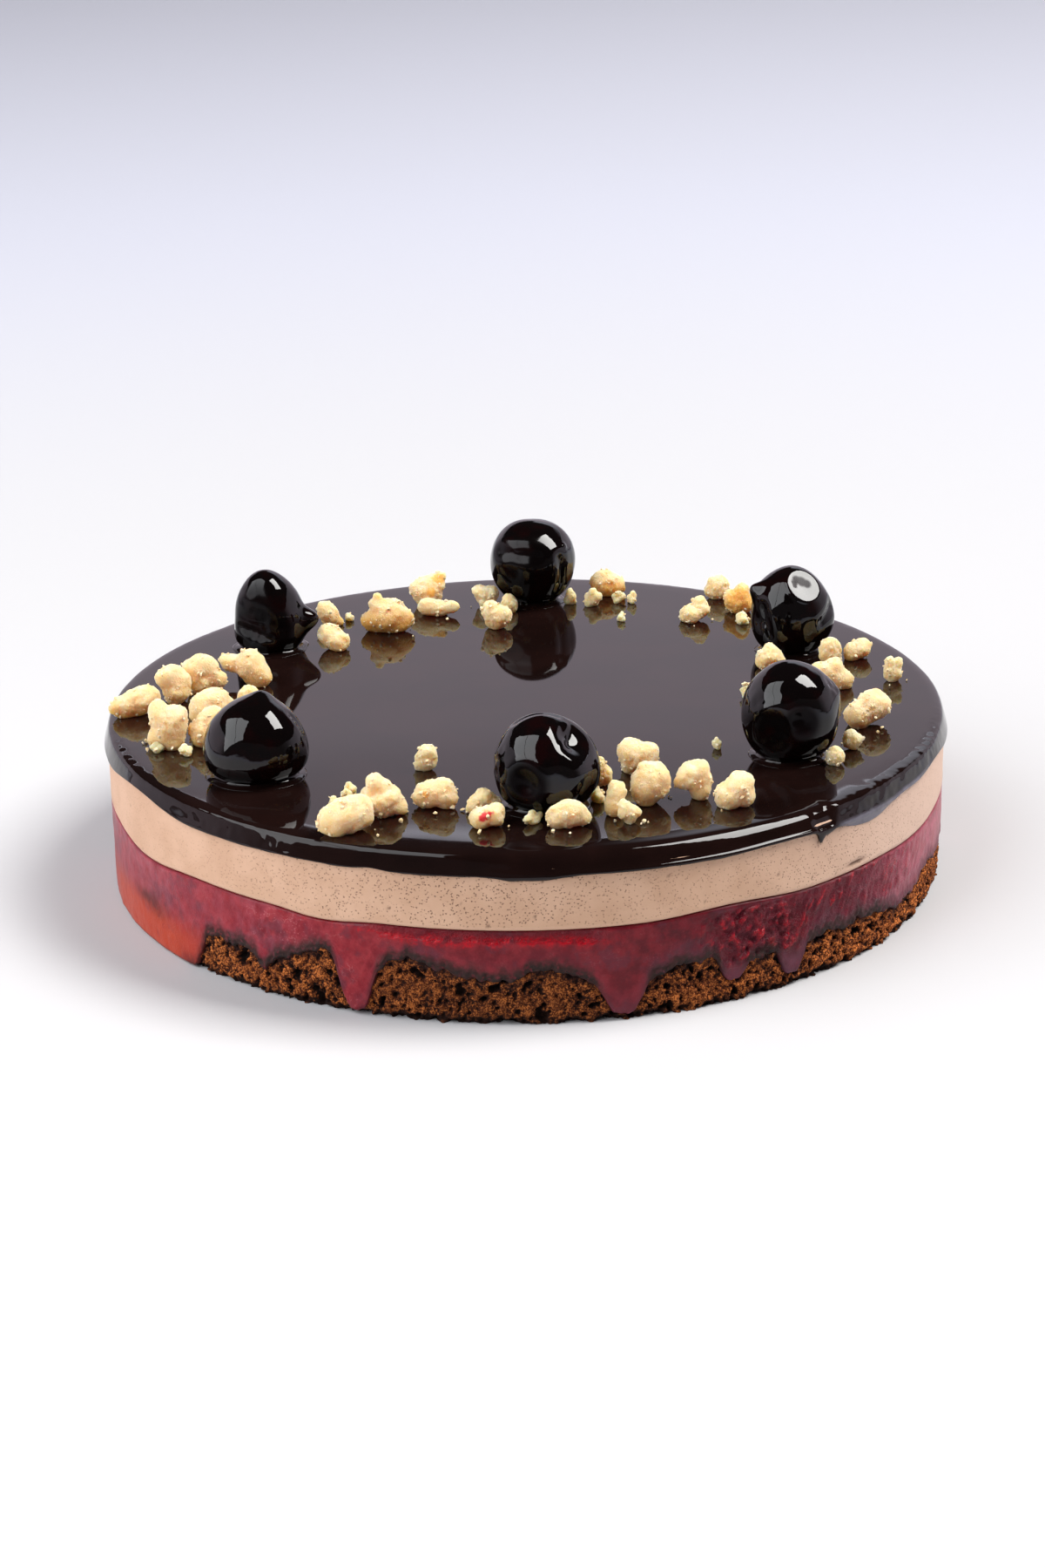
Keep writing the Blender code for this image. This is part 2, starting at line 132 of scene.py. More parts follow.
# Marks of the layers by angle: a place is a centre and a half width, a swell a centre, a rise and
# a half width, an arc where the mark begins, is full, begins to end and has ended.  The pairs are
# two angles between which something grows, fades or changes, seen from the front.
# Painted shade on the sponge's front, and where it lessens towards the right.
SPONGE_SHADE = [(268, 0.45, 36)]
SPONGE_BRIGHTENS = (296, 320)
TORN_PLACE = (300, 11)
SCRATCHED_PLACE = (318, 22)
STREAKED_PLACE = (240, 22)
# The ledge under the mousse, darkened with painted shade, and the bright red line below it.
LEDGE_ARC = (247, 253, 276, 281)
LEDGE_SINKS = (245, 254)
LINE_ARC = (233, 240, 276, 283)
LINE_WIDENS = (250, 256)
STAIN_SWELLS = [(230, 0.9, 9), (240, 0.9, 5), (266, 1.0, 17), (291, 0.8, 9), (299, 0.5, 5),
                (318, 0.15, 12)]
STAIN_BEHIND = (70, 90)          # degrees from the front, to either side
STAIN_FADES = (318, 330)
# Painted light: the place of an orange glow low on the left.
GLOW_PLACE = (205, 30)
BLUR_PLACE = (209, 8)
FOOT_BLUR_PLACE = (221, 5)
DUSK_GROWS = (270, 305)
DUSK_FADES = (322, 336)
DEEP_BEGINS = (246, 258)
DEEP_GROWS = (276, 292)
DEEP_FADES = (318, 335)
# Where the filling's pale haze lies; it is partly painted light, most at the right.
LEFT_HAZE = (205, 28)
FRONT_HAZE = (233, 16)
RIGHT_HAZE = (308, 334)
PALE_PLACE = (238, 16)
SEAM_FADES = (315, 325)
# Where the pores lie, darkened with painted shade.
POROUS_SWELLS = [(262, 0.70, 44), (312, 0.45, 30)]
# Painted light: from here the mousse grows lighter and cooler towards the right.
MOUSSE_LIT_RIGHT = (290, 335)
# The crack, sunk in and darkened with painted shade.
CRACK_PLACE = (317.0, 21.6)      # angle and height
LIP_UNEVEN = [(203, 0.15, 13), (322, 1.0, 13), (338, 0.7, 12), (230, 0.35, 17),
              (312.8, 0.2, 1.6), (60, 0.4, 50)]

# Cherries: angle, distance from the middle, width, height, then how full the upper and the lower
# half are (2 is an ellipsoid, more is fuller) and the lower half's share of the height, and marks
# on the round shape: direction, rise, half width in radians, and how sharp the mark's edge is.
CHERRIES = [
    (218, 69.9, 21.4, 17.3, (1.85, 2.5, 0.36), [
        ((0.15, 0.24, 0.96), 1.0, 0.22, 2), ((0.78, -0.50, 0.36), 0.37, 0.30, 2)]),
    (273.5, 63.3, 21.6, 19.0, (2.0, 2.3, 0.46), [
        ((0.67, -0.36, 0.65), -1.4, 0.50, 3), ((-0.20, 0.0, 0.97), 0.9, 0.50, 2),
        ((-0.98, -0.18, 0.0), -0.5, 0.40, 2), ((-0.43, -0.90, 0.0), -1.7, 0.30, 2.5),
        ((0.52, -0.42, 0.74), -1.0, 0.26, 2), ((0.20, -0.97, 0.10), -0.50, 0.26, 2),
        ((0.45, -0.83, -0.33), 0.25, 0.30, 2)]),
    (325.5, 65.7, 19.9, 20.2, (2.0, 2.35, 0.47), [
        ((0.22, -0.96, 0.14), -1.0, 0.34, 2), ((0.78, -0.10, 0.62), -0.5, 0.15, 2),
        ((0.90, 0.0, 0.43), 0.9, 0.30, 2), ((-0.43, -0.89, -0.12), -1.3, 0.40, 3),
        ((0.08, -0.97, 0.21), -0.35, 0.13, 3), ((-0.25, -0.92, -0.32), -0.30, 0.16, 2),
        ((-0.38, -0.64, -0.67), 0.42, 0.30, 2)]),
    (27.5, 67.4, 17.7, 19.4, (2.0, 2.5, 0.46), [
        ((-0.81, -0.11, 0.57), 1.9, 0.19, 2), ((0.96, -0.16, -0.20), 1.0, 0.40, 2),
        ((-0.88, -0.48, 0.0), -0.9, 0.35, 2), ((0.45, -0.88, -0.12), -0.4, 0.20, 3)]),
    (88, 71.4, 20.3, 19.6, (2.0, 2.0, 0.53), [
        ((-0.45, -0.85, 0.10), -0.6, 0.40, 2), ((0.85, -0.52, -0.12), -0.6, 0.35, 2),
        ((-0.42, -0.77, 0.47), 0.40, 0.28, 2), ((0.74, -0.49, 0.46), 0.25, 0.08, 3)]),
    (145.5, 69.8, 16.2, 18.3, (2.0, 3.0, 0.35), [
        ((-0.36, -0.90, 0.23), -1.6, 0.60, 3), ((0.98, -0.03, 0.12), 3.0, 0.28, 2),
        ((-0.28, -0.12, 0.95), 1.0, 0.50, 2), ((0.27, -0.83, 0.48), 0.35, 0.30, 2)]),
]
# Folds in the skin: number of the cherry, from and to direction, depth and half width.
CHERRY_FOLDS = [
    (1, (0.70, -0.12, 0.70), (0.98, -0.14, 0.04), 0.20, 0.07),
    (2, (-0.52, 0.04, 0.85), (0.21, 0.10, 0.97), 0.30, 0.08),
    (2, (0.42, -0.05, 0.90), (0.34, -0.62, 0.70), -0.14, 0.06),
    (3, (-0.72, -0.55, 0.42), (-0.12, -0.72, 0.68), 0.22, 0.10),
    (4, (-0.75, -0.60, 0.30), (-0.60, -0.76, -0.30), 0.5, 0.12),
    (4, (0.70, -0.65, 0.0), (0.95, -0.3, 0.25), 0.5, 0.12),
    (5, (0.63, -0.75, 0.20), (0.60, -0.68, -0.50), 0.45, 0.12),
    (5, (-0.75, -0.55, 0.35), (0.10, -0.90, 0.30), 0.40, 0.13),
    (6, (-0.80, -0.50, 0.1), (0.1, -0.95, -0.15), 0.35, 0.10),
]
# Wrinkled patches: number, direction, half width, depth, size of the wrinkles.
CHERRY_PATCHES = [
    (2, (-0.95, -0.34, 0.08), 0.42, 0.40, 0.20), (3, (-0.50, -0.66, -0.55), 0.36, 0.30, 0.16),
    (3, (0.82, -0.12, 0.56), 0.22, 0.35, 0.16), (6, (-0.38, -0.42, 0.82), 0.35, 0.16, 0.16),
    (6, (-0.3, -0.8, 0.0), 0.50, 0.22, 0.20),
]
# Flattened places: number, direction, the way the flat faces, share of the reach that is left.
CHERRY_FACETS = [(4, (0.270, -0.530, 0.805), (0.350, -0.564, 0.747), 1.010)]
# Small dimples that show as dark spots in a highlight: number, direction, depth, half width.
CHERRY_DIMPLES = [(2, (0.52, -0.50, 0.70), 0.16, 0.08)]
# Dull places, rougher and with their reflection darkened as painted shade: number, direction, half
# width, amount.
CHERRY_DULL_SHADE = [
    (2, (-0.40, -0.91, 0.0), 0.46, 1.0), (3, (-0.40, -0.90, -0.12), 0.50, 1.0),
    (3, (0.18, -0.97, 0.08), 0.44, 0.9), (5, (-0.40, -0.82, 0.35), 0.75, 0.6),
    (6, (-0.36, -0.80, 0.35), 0.85, 0.8), (4, (0.12, -0.445, 1.03), 0.11, 1.0),
    (4, (0.25, -0.450, 0.99), 0.14, 1.0), (4, (0.39, -0.45, 0.94), 0.12, 1.0),
    (4, (0.05, -0.51, 0.91), 0.08, 1.0), (4, (0.05, -0.56, 0.80), 0.06, 1.0),
]
CHERRY_WRINKLE = 0.03
CHERRY_WAVES = 1.7
CHERRY_FLAT = 0.05
CHERRY_LEVEL = 6                 # how finely its ball is divided
FLAT_REMAINS = 0.02
FACET_EDGE = (0.47, 0.35)        # where a flattened place ends and where it is fully flat
COLLAR_HEIGHT = 0.8              # of the syrup that gathers at a cherry's foot
COLLAR_WIDTH = 1.3
COLLAR_COLUMNS = 120
COLLAR_ROWS = 9
COLLAR_FIRST_SEED = 70

# Crumbles in the order of their nodes: turn about Z, how toasted, and the lobes that melt into
# the piece, as (x, z, radius) or (x, z, radius, y) where the whole piece is about 2 across.
CRUMBLES = [
    (25, 0.7, [(0.15, 0.1, 0.62), (-0.45, -0.05, 0.45), (0.6, 0.1, 0.4), (-0.85, -0.12, 0.2)]),
    (20, 0.35, [(-0.4, 0.45, 0.42), (0.05, 0.62, 0.36), (0.35, 0.2, 0.5), (0.1, -0.35, 0.55, -0.1)]),
    (0, 0.5, [(-0.45, 0.5, 0.4), (0, 0.62, 0.38), (0.35, 0.45, 0.36), (-0.1, -0.2, 0.6),
              (0.72, -0.1, 0.3)]),
    (-20, 0.6, [(-0.65, 0.25, 0.38), (0.3, 0.1, 0.6), (0.6, -0.35, 0.42), (0.25, 0.55, 0.36)]),
    (0, 0.35, [(0.15, -0.1, 0.62), (-0.45, 0.5, 0.38), (0.5, 0.2, 0.45), (-0.5, -0.55, 0.4),
               (-0.25, 0.1, 0.45), (0.2, -0.6, 0.42, -0.2)]),
    (30, 0.5, [(-0.3, 0, 0.62), (0.35, 0.05, 0.6), (0.78, -0.1, 0.3)]),
    (35, 0.6, [(-0.2, -0.2, 0.66), (0.3, 0.42, 0.5)]),
    (0, 0.6, [(0.1, 0, 0.7), (-0.45, -0.1, 0.45)]),
    (0, 0.6, [(0, -0.1, 0.7), (-0.3, 0.45, 0.5), (0.7, -0.55, 0.25)]),
    (-25, 0.5, [(-0.3, 0.15, 0.62), (0.4, -0.15, 0.55)]),
    (0, 1, [(0.12, -0.25, 0.78), (-0.62, -0.5, 0.36), (0.72, -0.4, 0.3), (-0.4, 0.3, 0.24),
            (-0.36, 0.72, 0.15)]),
    (10, 0.25, [(-0.3, 0.05, 0.6), (0.25, 0.25, 0.52), (0.62, 0.72, 0.2), (0, -0.5, 0.55, -0.1)]),
    (-8, 0.25, [(-0.45, 0, 0.52), (0.1, -0.12, 0.45), (0.68, 0.05, 0.36)]),
    (0, 0.1, [(-0.38, 0.35, 0.45), (0.42, 0.3, 0.45), (0, -0.3, 0.55)]),
    (0, 0.35, [(0, 0, 0.8), (0.3, -0.35, 0.5)]),
    (-20, 0.4, [(-0.3, 0.2, 0.56), (0.35, -0.05, 0.56), (-0.1, -0.4, 0.5)]),
    (0, 0.95, [(0, -0.1, 0.85), (0.5, -0.3, 0.45)]),
    (0, 0.4, [(0, -0.15, 0.78), (0.1, 0.45, 0.5)]),
    (25, 0.3, [(-0.4, -0.25, 0.56), (0.4, 0.05, 0.55), (0.3, 0.65, 0.3)]),
    (0, 0.95, [(0, -0.2, 0.7), (0.25, 0.45, 0.4), (-0.5, 0, 0.4), (0.6, -0.2, 0.4)]),
    (10, 0.35, [(-0.4, -0.1, 0.5), (0.1, 0.15, 0.58), (0.55, -0.3, 0.4), (-0.05, 0.62, 0.28)]),
    (0, 0.45, [(0, -0.25, 0.75), (0.05, 0.4, 0.55)]),
    (20, 0.55, [(-0.45, -0.1, 0.5), (0.05, 0.05, 0.45), (0.5, 0.15, 0.52)]),
    (0, 0.4, [(-0.5, 0.2, 0.45), (0.1, 0, 0.55), (0.55, -0.25, 0.52), (0.2, 0.6, 0.32)]),
    (0, 0.1, [(-0.35, 0.35, 0.48), (0.45, 0.42, 0.34), (0.1, -0.4, 0.62), (-0.35, -0.25, 0.5)]),
    (30, 0.35, [(-0.5, -0.2, 0.5), (0.35, 0.15, 0.62), (0.8, 0.1, 0.3)]),
    (0, 0.1, [(-0.4, -0.1, 0.42), (0.35, 0.1, 0.45), (0, 0.5, 0.38), (0.1, -0.4, 0.4),
              (-0.3, 0.4, 0.3)]),
    (0, 0.1, [(0, 0, 0.85), (-0.4, -0.2, 0.5)]),
    (-15, 0.25, [(-0.5, 0.35, 0.48), (0.45, 0.2, 0.48), (-0.42, -0.35, 0.48), (0.1, -0.05, 0.55),
                 (0.5, -0.3, 0.35)]),
    (0, 0.4, [(-0.15, -0.05, 0.85), (0.45, 0.15, 0.55)]),
    (0, 0.25, [(-0.3, 0.2, 0.58), (0.35, 0.5, 0.4), (0.58, -0.1, 0.38), (0.25, -0.5, 0.45),
               (-0.72, 0, 0.3)]),
    (15, 0.25, [(-0.42, -0.25, 0.55), (0.1, 0, 0.6), (0.4, 0.3, 0.55), (0.45, -0.3, 0.45)]),
    (60, 0.45, [(-0.15, -0.4, 0.6), (0.15, 0.4, 0.55)]),
    (20, 0.15, [(0, 0, 0.55), (-0.35, 0.5, 0.32), (0.62, -0.1, 0.32), (0.1, -0.6, 0.34),
                (-0.6, -0.2, 0.3)]),
    (0, 0.4, [(0, -0.3, 0.6), (-0.05, 0.45, 0.45), (0.4, -0.2, 0.4)]),
    (0, 0.3, [(0, 0.3, 0.58), (-0.5, -0.3, 0.5), (0.55, -0.2, 0.45)]),
    (10, 0.4, [(-0.48, -0.02, 0.55), (0.48, 0.12, 0.55)]),
    (0, 0.2, [(-0.35, -0.05, 0.6), (0.3, 0.12, 0.6), (0.72, -0.15, 0.3)]),
    (20, 0.3, [(-0.5, -0.1, 0.42), (0, 0, 0.5), (0.5, 0.05, 0.42), (-0.8, -0.15, 0.2)]),
    (0, 0.2, [(-0.42, -0.12, 0.48), (0.34, -0.02, 0.48), (-0.22, 0.66, 0.32), (0.2, 0.52, 0.2),
              (0.1, -0.5, 0.42), (0.8, -0.45, 0.25)]),
    (0, 0.3, [(-0.5, 0.08, 0.5), (0.38, 0.08, 0.58), (0.38, 0.6, 0.3), (-0.15, 0.45, 0.34),
              (0.5, -0.4, 0.4), (-0.4, -0.35, 0.42)]),
    (0, 0.1, [(0, -0.1, 0.8), (0.2, 0.4, 0.5), (-0.5, -0.5, 0.25)]),
]
# Spots of another colour: number of the piece, place from its middle, half width, mask.
CRUMBLE_SPOTS = [
    (12, (2.6, -1.0, 3.0), 1.5, "toast"), (12, (0.8, -3.0, 0.2), 1.1, "toast"),
    (17, (0.5, -2.5, -1.2), 2.4, "toast"), (20, (0.0, -2.5, 0.0), 3.5, "toast"),
    (37, (0.1, -2.4, 0.9), 1.15, "tint"), (37, (-0.9, -2.4, 0.2), 0.75, "tint"),
    (37, (0.9, -2.2, 1.3), 0.65, "tint"), (41, (-1.9, -2.6, 0.5), 0.8, "toast"),
]
CRUMBLE_BLEND = 1.25
CRUMBLE_ROUGHNESS = 0.11
CRUMBLE_WAVES = 2.0
CRUMBLE_LEAST = 0.3              # the search for the lobes' outside: from, to, step, halvings
CRUMBLE_MOST = 1.8
CRUMBLE_STEP = 0.05
CRUMBLE_HALVINGS = 6
CRUMBLE_FLAT = 0.08
CRUMBLE_LEVEL = 5

# Sandy grains: how many stick to a square mm of crumble, and their sizes from and to.
GRAIN_DENSITY = 0.75
GRAIN_SIZE = (0.40, 1.15)
GRAIN_UNEVEN = (0.6, 1.25)
GRAIN_STRETCH = (0.5, 1.2)
GRAIN_SUNK = 0.45                # height of a lying grain's middle, as a share of its size
GRAIN_SEED = 5
# Loose ones: number of the crumble, how many lie round it, and how far off at most.
LOOSE_GRAINS = [(41, 3, 6.5), (37, 4, 5.5), (39, 3, 8.5), (32, 2, 5.5), (30, 2, 6.5),
                (40, 5, 6.5), (31, 3, 5.5), (34, 4, 4.0), (38, 3, 6.0), (5, 6, 7.0),
                (1, 2, 8.0), (26, 3, 7.0), (27, 3, 4.0), (24, 2, 6.5), (11, 3, 8.5),
                (13, 2, 6.5), (17, 3, 7.0), (19, 2, 5.5), (25, 2, 4.5), (14, 3, 5.0)]

# Crumbs too small for a solid of their own: x, y, length, width, height.
SMALL_CRUMB_LOBES = [(0, -0.1, 0.5), (0.5, 0.1, 0.4, -0.1), (-0.45, 0.2, 0.4, -0.1),
                     (0.1, -0.4, 0.4, -0.3), (0, 0.6, 0.36, 0.1), (0.4, -0.4, 0.36, 0.3)]
SMALL_CRUMBS = [
    (-77.0, -28.9, 3.1, 2.2, 2.2), (-70.7, -31.2, 3.3, 2.7, 2.7), (-40.5, 57.9, 2.4, 2.2, 2.0),
    (11.2, 67.6, 3.5, 3.0, 4.2), (16.4, 66.1, 4.5, 3.8, 4.6), (22.4, 68.3, 3.3, 2.8, 3.0),
    (25.6, 68.1, 3.1, 2.7, 3.1), (22.6, 54.3, 2.6, 2.2, 2.4), (50.3, 50.8, 4.0, 2.8, 2.8),
    (47.5, -1.0, 2.4, 2.0, 3.2), (39.5, -32.9, 2.3, 2.0, 2.6), (1.0, -73.0, 5.5, 2.7, 2.7),
    (14.0, -62.6, 3.6, 3.0, 3.2), (-35.5, -56.8, 3.3, 3.0, 3.4), (-36.2, -58.3, 2.6, 2.2, 2.4),
    (-26.6, -67.3, 3.0, 2.6, 2.6), (-24.6, -66.0, 2.6, 2.2, 2.2), (-38.6, -62.0, 2.6, 2.3, 2.4),
]
SMALL_CRUMB_LEVEL = 4
SMALL_CRUMB_TOAST = 0.05
SMALL_CRUMB_TURN = 37.0          # from one to the next
SMALL_CRUMB_RELIEF = 0.8
SMALL_CRUMB_FIRST_SEED = 90

FLOOR_RINGS = (1.0, 300.0, 900.0, 1800.0, 4000.0, 12000.0)
FLOOR_COLUMNS = 96
FLOOR_HEIGHT = -0.02
# Painted light: the floor is a little lighter and bluer far off, making up for the key light's
# fall-off.
FLOOR_NEAR = (0.545, 0.542, 0.552)
FLOOR_FAR = (0.560, 0.572, 0.655)
FLOOR_FADE = (0.20, 0.80)        # metres from the middle
KEY = {"towards": (0.553, 0.045, 0.827), "distance": 2500.0, "size": (1100.0, 1400.0),
       "turn": -35.0, "power": 92.0, "colour": (1.0, 0.985, 0.96)}
FILL = {"towards": (-0.665, -0.33, 0.67), "distance": 1400.0, "size": (720.0, 1600.0),
        "turn": 38.0, "power": 14.5, "colour": (0.95, 0.97, 1.0)}
FILL_SLIT = 26.0
# The world: a bright band near the horizon with a thin brilliant upper edge, brightest behind
# the cake, under a dark ceiling.
WORLD_BAND = (0.85, 0.755, 0.86)
WORLD_FRONT = (0.10, 0.094, 0.10)
WORLD_DARK = (0.020, 0.019, 0.022)
WORLD_EDGE = (2.8, 2.8, 3.2)
BAND_TOP = (0.3693, 0.3700)      # sine of the elevation where the bright band ends
BAND_EDGE = (0.3665, 0.3672)     # where its brilliant edge starts
BAND_DIM = (0.335, 0.364)        # and where it has begun to dim
BAND_DIMMED = 0.77
BAND_TURN = (-0.50, 0.10)        # Y of the direction where the front's dimness ends
# A bright patch above the band at the back right: colour, and where it begins and ends.
WORLD_PATCH = (1.10, 1.12, 1.28)
PATCH_TOP = (0.50, 0.58)
PATCH_SIDE = (0.03, 0.09)
PATCH_BACK = (0.60, 0.75)


# ---------------- shapes as functions

def around(count):
    """The angles of a full turn in equal steps."""
    return np.arange(count) * 360.0 / count


def apart(angle, centre):
    """Degrees between two angles, the short way round."""
    return np.abs((angle - centre + 180.0) % 360.0 - 180.0)


def bump(angle, centre, half_width):
    """1 at the centre, falling in a rounded curve to 0 at half_width degrees from it."""
    return 0.5 + 0.5 * np.cos(np.pi * np.minimum(apart(angle, centre) / half_width, 1.0))


def finger(angle, centre, half_width):
    """Like bump, but with steep sides and a broad end."""
    return np.exp(-np.minimum(apart(angle, centre) / half_width, 3.0) ** 3.5)


def swells(angle, features):
    """Bumps added up, each given as centre, rise and half width."""
    return sum(rise * bump(angle, centre, width) for centre, rise, width in features)


def held(value):
    """The value, kept between 0 and 1."""
    return np.clip(value, 0.0, 1.0)


def smooth(value, low, high):
    """0 below low, 1 above high, with a smooth change between."""
    share = held((value - low) / (high - low))
    return share * share * (3.0 - 2.0 * share)


def within(angle, arc):
    """1 between the arc's inner two angles, 0 outside its outer two."""
    return smooth(angle, arc[0], arc[1]) * smooth(angle, arc[3], arc[2])


def rightwards(angle, low, high):
    """0 to 1 between two angles of the front, held to the right, then back to 0 behind."""
    return np.maximum(smooth(angle, low, high), smooth(angle, *RIGHT_EASE))


def back_features(count, rises, widths, seed):
    """Swells or drips drawn for the back, one to each equal stretch of it."""
    draw = random.Random(seed)
    step = (BACK_ARC[1] - BACK_ARC[0]) / count
    features = []
    for index in range(count):
        centre = BACK_ARC[0] + (index + draw.uniform(0.2, 0.8)) * step
        features.append((centre, draw.uniform(*rises), draw.uniform(*widths)))
    return features


ALL_SWELLS = SPONGE_SWELLS + back_features(*BACK_SWELLS)
ALL_DRIPS = FILLING_DRIPS + back_features(*BACK_DRIPS)


def covered(angle):
    """1 where the filling hides the sponge, 0 elsewhere, with a short change between."""
    turned_angle = angle % 360.0
    inside = np.minimum(turned_angle - COVERED_ARC[0], COVERED_ARC[1] - turned_angle)
    return held(inside / COVERED_EASE + 0.5)


def beside_drips(angle):
    """0 on and close beside the filling's drips, 1 away from them."""
    return 1.0 - held(sum(finger(angle, centre, 1.35 * width) for centre, _, width in ALL_DRIPS))


def ragged_edge(angle):
    """The sponge's upper edge, with its swells, the drips that hide it, and a torn unevenness."""
    shown = 1.0 - covered(angle)
    height = SPONGE_EDGE + swells(angle, ALL_SWELLS)
    height -= sum(drop * finger(angle, centre, width) for centre, drop, width in ALL_DRIPS)
    ring = on_circle(angle, CAKE_RADIUS, 0.0)
    torn = 0.9 * waves(ring, 2.8, 21) + 0.7 * waves(ring, 1.15, 22)
    return np.maximum(np.clip(height * shown, *SPONGE_EDGE_RANGE) + torn * shown, 0.0)


def filling_edge(angle):
    return FILLING_TOP + swells(angle, FILLING_TOP_SWELLS)


def lip_bottom(angle):
    return LIP_BOTTOM + swells(angle, LIP_SWELLS) - swells(angle, LIP_DRIPS)


def on_circle(angle, radius, height):
    """Points at these angles, radii and heights; the last axis holds x, y, z."""
    turn = np.radians(angle)
    return np.stack(np.broadcast_arrays(radius * np.cos(turn), radius * np.sin(turn), height), -1)


def sampled(field, spots):
    """The value of a field at every spot, in the spots' own arrangement."""
    values = [field(spot) for spot in spots.reshape(-1, 3).tolist()]
    return np.array(values).reshape(spots.shape[:-1])


def waves(points, size, seed=0):
    """Smooth noise from -1 to 1 at each point, in features about size mm across."""
    return sampled(noise.noise, points / size + 17.3 * seed)


def rough(points, size, seed=0, octaves=3):
    """Several sizes of noise added, each half as large and half as strong."""
    return sum(waves(points, size / 2 ** octave, seed + octave) / 2 ** octave
               for octave in range(octaves))


def cells(points, size, seed=0):
    """Distance, in cell sizes, from each point to the nearest centre of scattered cells."""
    return sampled(lambda spot: noise.voronoi(spot)[0][0], points / size + 9.1 * seed)


def slanted(angle, height, lean, length, width, seed):
    """Noise on the cake's side, drawn out into strokes that lean from upright, in degrees."""
    across = np.radians(angle) * CAKE_RADIUS
    turn = math.radians(lean)
    along = height * math.cos(turn) + across * math.sin(turn)
    beside = across * math.cos(turn) - height * math.sin(turn)
    return rough(np.stack([beside / width, along / length, 0.0 * along], -1), 1.0, seed, 2)


# ---------------- making meshes

MATERIALS = {}                   # every finish under its name


def add_piece(name, shape, finish, smooth_faces=True):
    """A piece from a shape: points in mm, faces, and masks, which are named values of points."""
    points, faces, masks = shape
    mesh = bpy.data.meshes.new(name)
    mesh.from_pydata((points * MM).tolist(), [], faces)
    for mask, values in masks.items():
        layer = mesh.attributes.new(mask, "FLOAT", "POINT")
        layer.data.foreach_set("value", np.asarray(values, np.float32))
    mesh.materials.append(MATERIALS[finish])
    mesh.validate()
    if smooth_faces:
        mesh.shade_smooth()
    piece = bpy.data.objects.new(name, mesh)
    bpy.context.scene.collection.objects.link(piece)
    return piece


def settle(piece, slot, *nodes):
    """Gives a piece its body and hides the CAD nodes that it stands for; the finish's name in slot
    is not used.
    """
    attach(piece, "root")
    if nodes:
        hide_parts(*nodes)


def grid_faces(columns, rows):
    """Faces of a grid that closes round its columns; points run row by row in a column."""
    here = np.arange(columns)[:, None] * rows
    beyond = np.roll(here, -1, axis=0)
    row = np.arange(rows - 1)
    corners = [here + row, beyond + row, beyond + row + 1, here + row + 1]
    return np.stack(corners, axis=-1).reshape(-1, 4).tolist()


def build_layer(node, angles, lower, side, upper, masks):
    """One layer of the cake, closed, with a middle point below and above.

    Its rings run from the middle of its underside over its shown side to the middle of its top.
    Each is a pair of radius and height; the side is many rings at once, and masks lie on it.
    """
    rings = [*lower, side, *upper]
    ones = np.ones((len(angles), 1))
    radii = np.concatenate([ones * radius for radius, _ in rings], 1)
    heights = np.concatenate([ones * height for _, height in rings], 1)
    columns, rows = radii.shape
    body = on_circle(angles[:, None], radii, heights).reshape(-1, 3)
    ends = [[0.0, 0.0, heights[:, 0].mean()], [0.0, 0.0, heights[:, -1].mean()]]
    faces = grid_faces(columns, rows)
    for column in range(columns):
        beyond = (column + 1) % columns
        faces.append([len(body), beyond * rows, column * rows])
        faces.append([len(body) + 1, column * rows + rows - 1, beyond * rows + rows - 1])
    spread = {}
    for mask, values in masks.items():
        on_side = held(np.broadcast_to(values, side[0].shape))
        everywhere = np.pad(on_side, ((0, 0), (len(lower), len(upper))), mode="edge")
        spread[mask] = np.append(everywhere, [0.0, 0.0])
    shape = (np.concatenate([body, ends]), faces, spread)
    settle(add_piece(f"{node}_layer", shape, node), node, node)


def sphere_directions(level):
    """Unit directions and triangles of an icosphere."""
    mesh_data = bmesh.new()
    bmesh.ops.create_icosphere(mesh_data, subdivisions=level, radius=1.0)
    directions = np.array([vert.co.normalized() for vert in mesh_data.verts])
    faces = np.array([[vert.index for vert in face.verts] for face in mesh_data.faces])
    mesh_data.free()
    return directions, faces


def joined(parts):
    """Points, faces and masks of several small meshes as one."""
    all_points, all_faces, all_masks = zip(*parts)
    firsts = np.cumsum([0] + [len(points) for points in all_points])
    faces = np.concatenate([faces + first for faces, first in zip(all_faces, firsts)])
    masks = {mask: np.concatenate([masks[mask] for masks in all_masks]) for mask in all_masks[0]}
    return np.concatenate(all_points), faces.tolist(), masks


# ---------------- materials

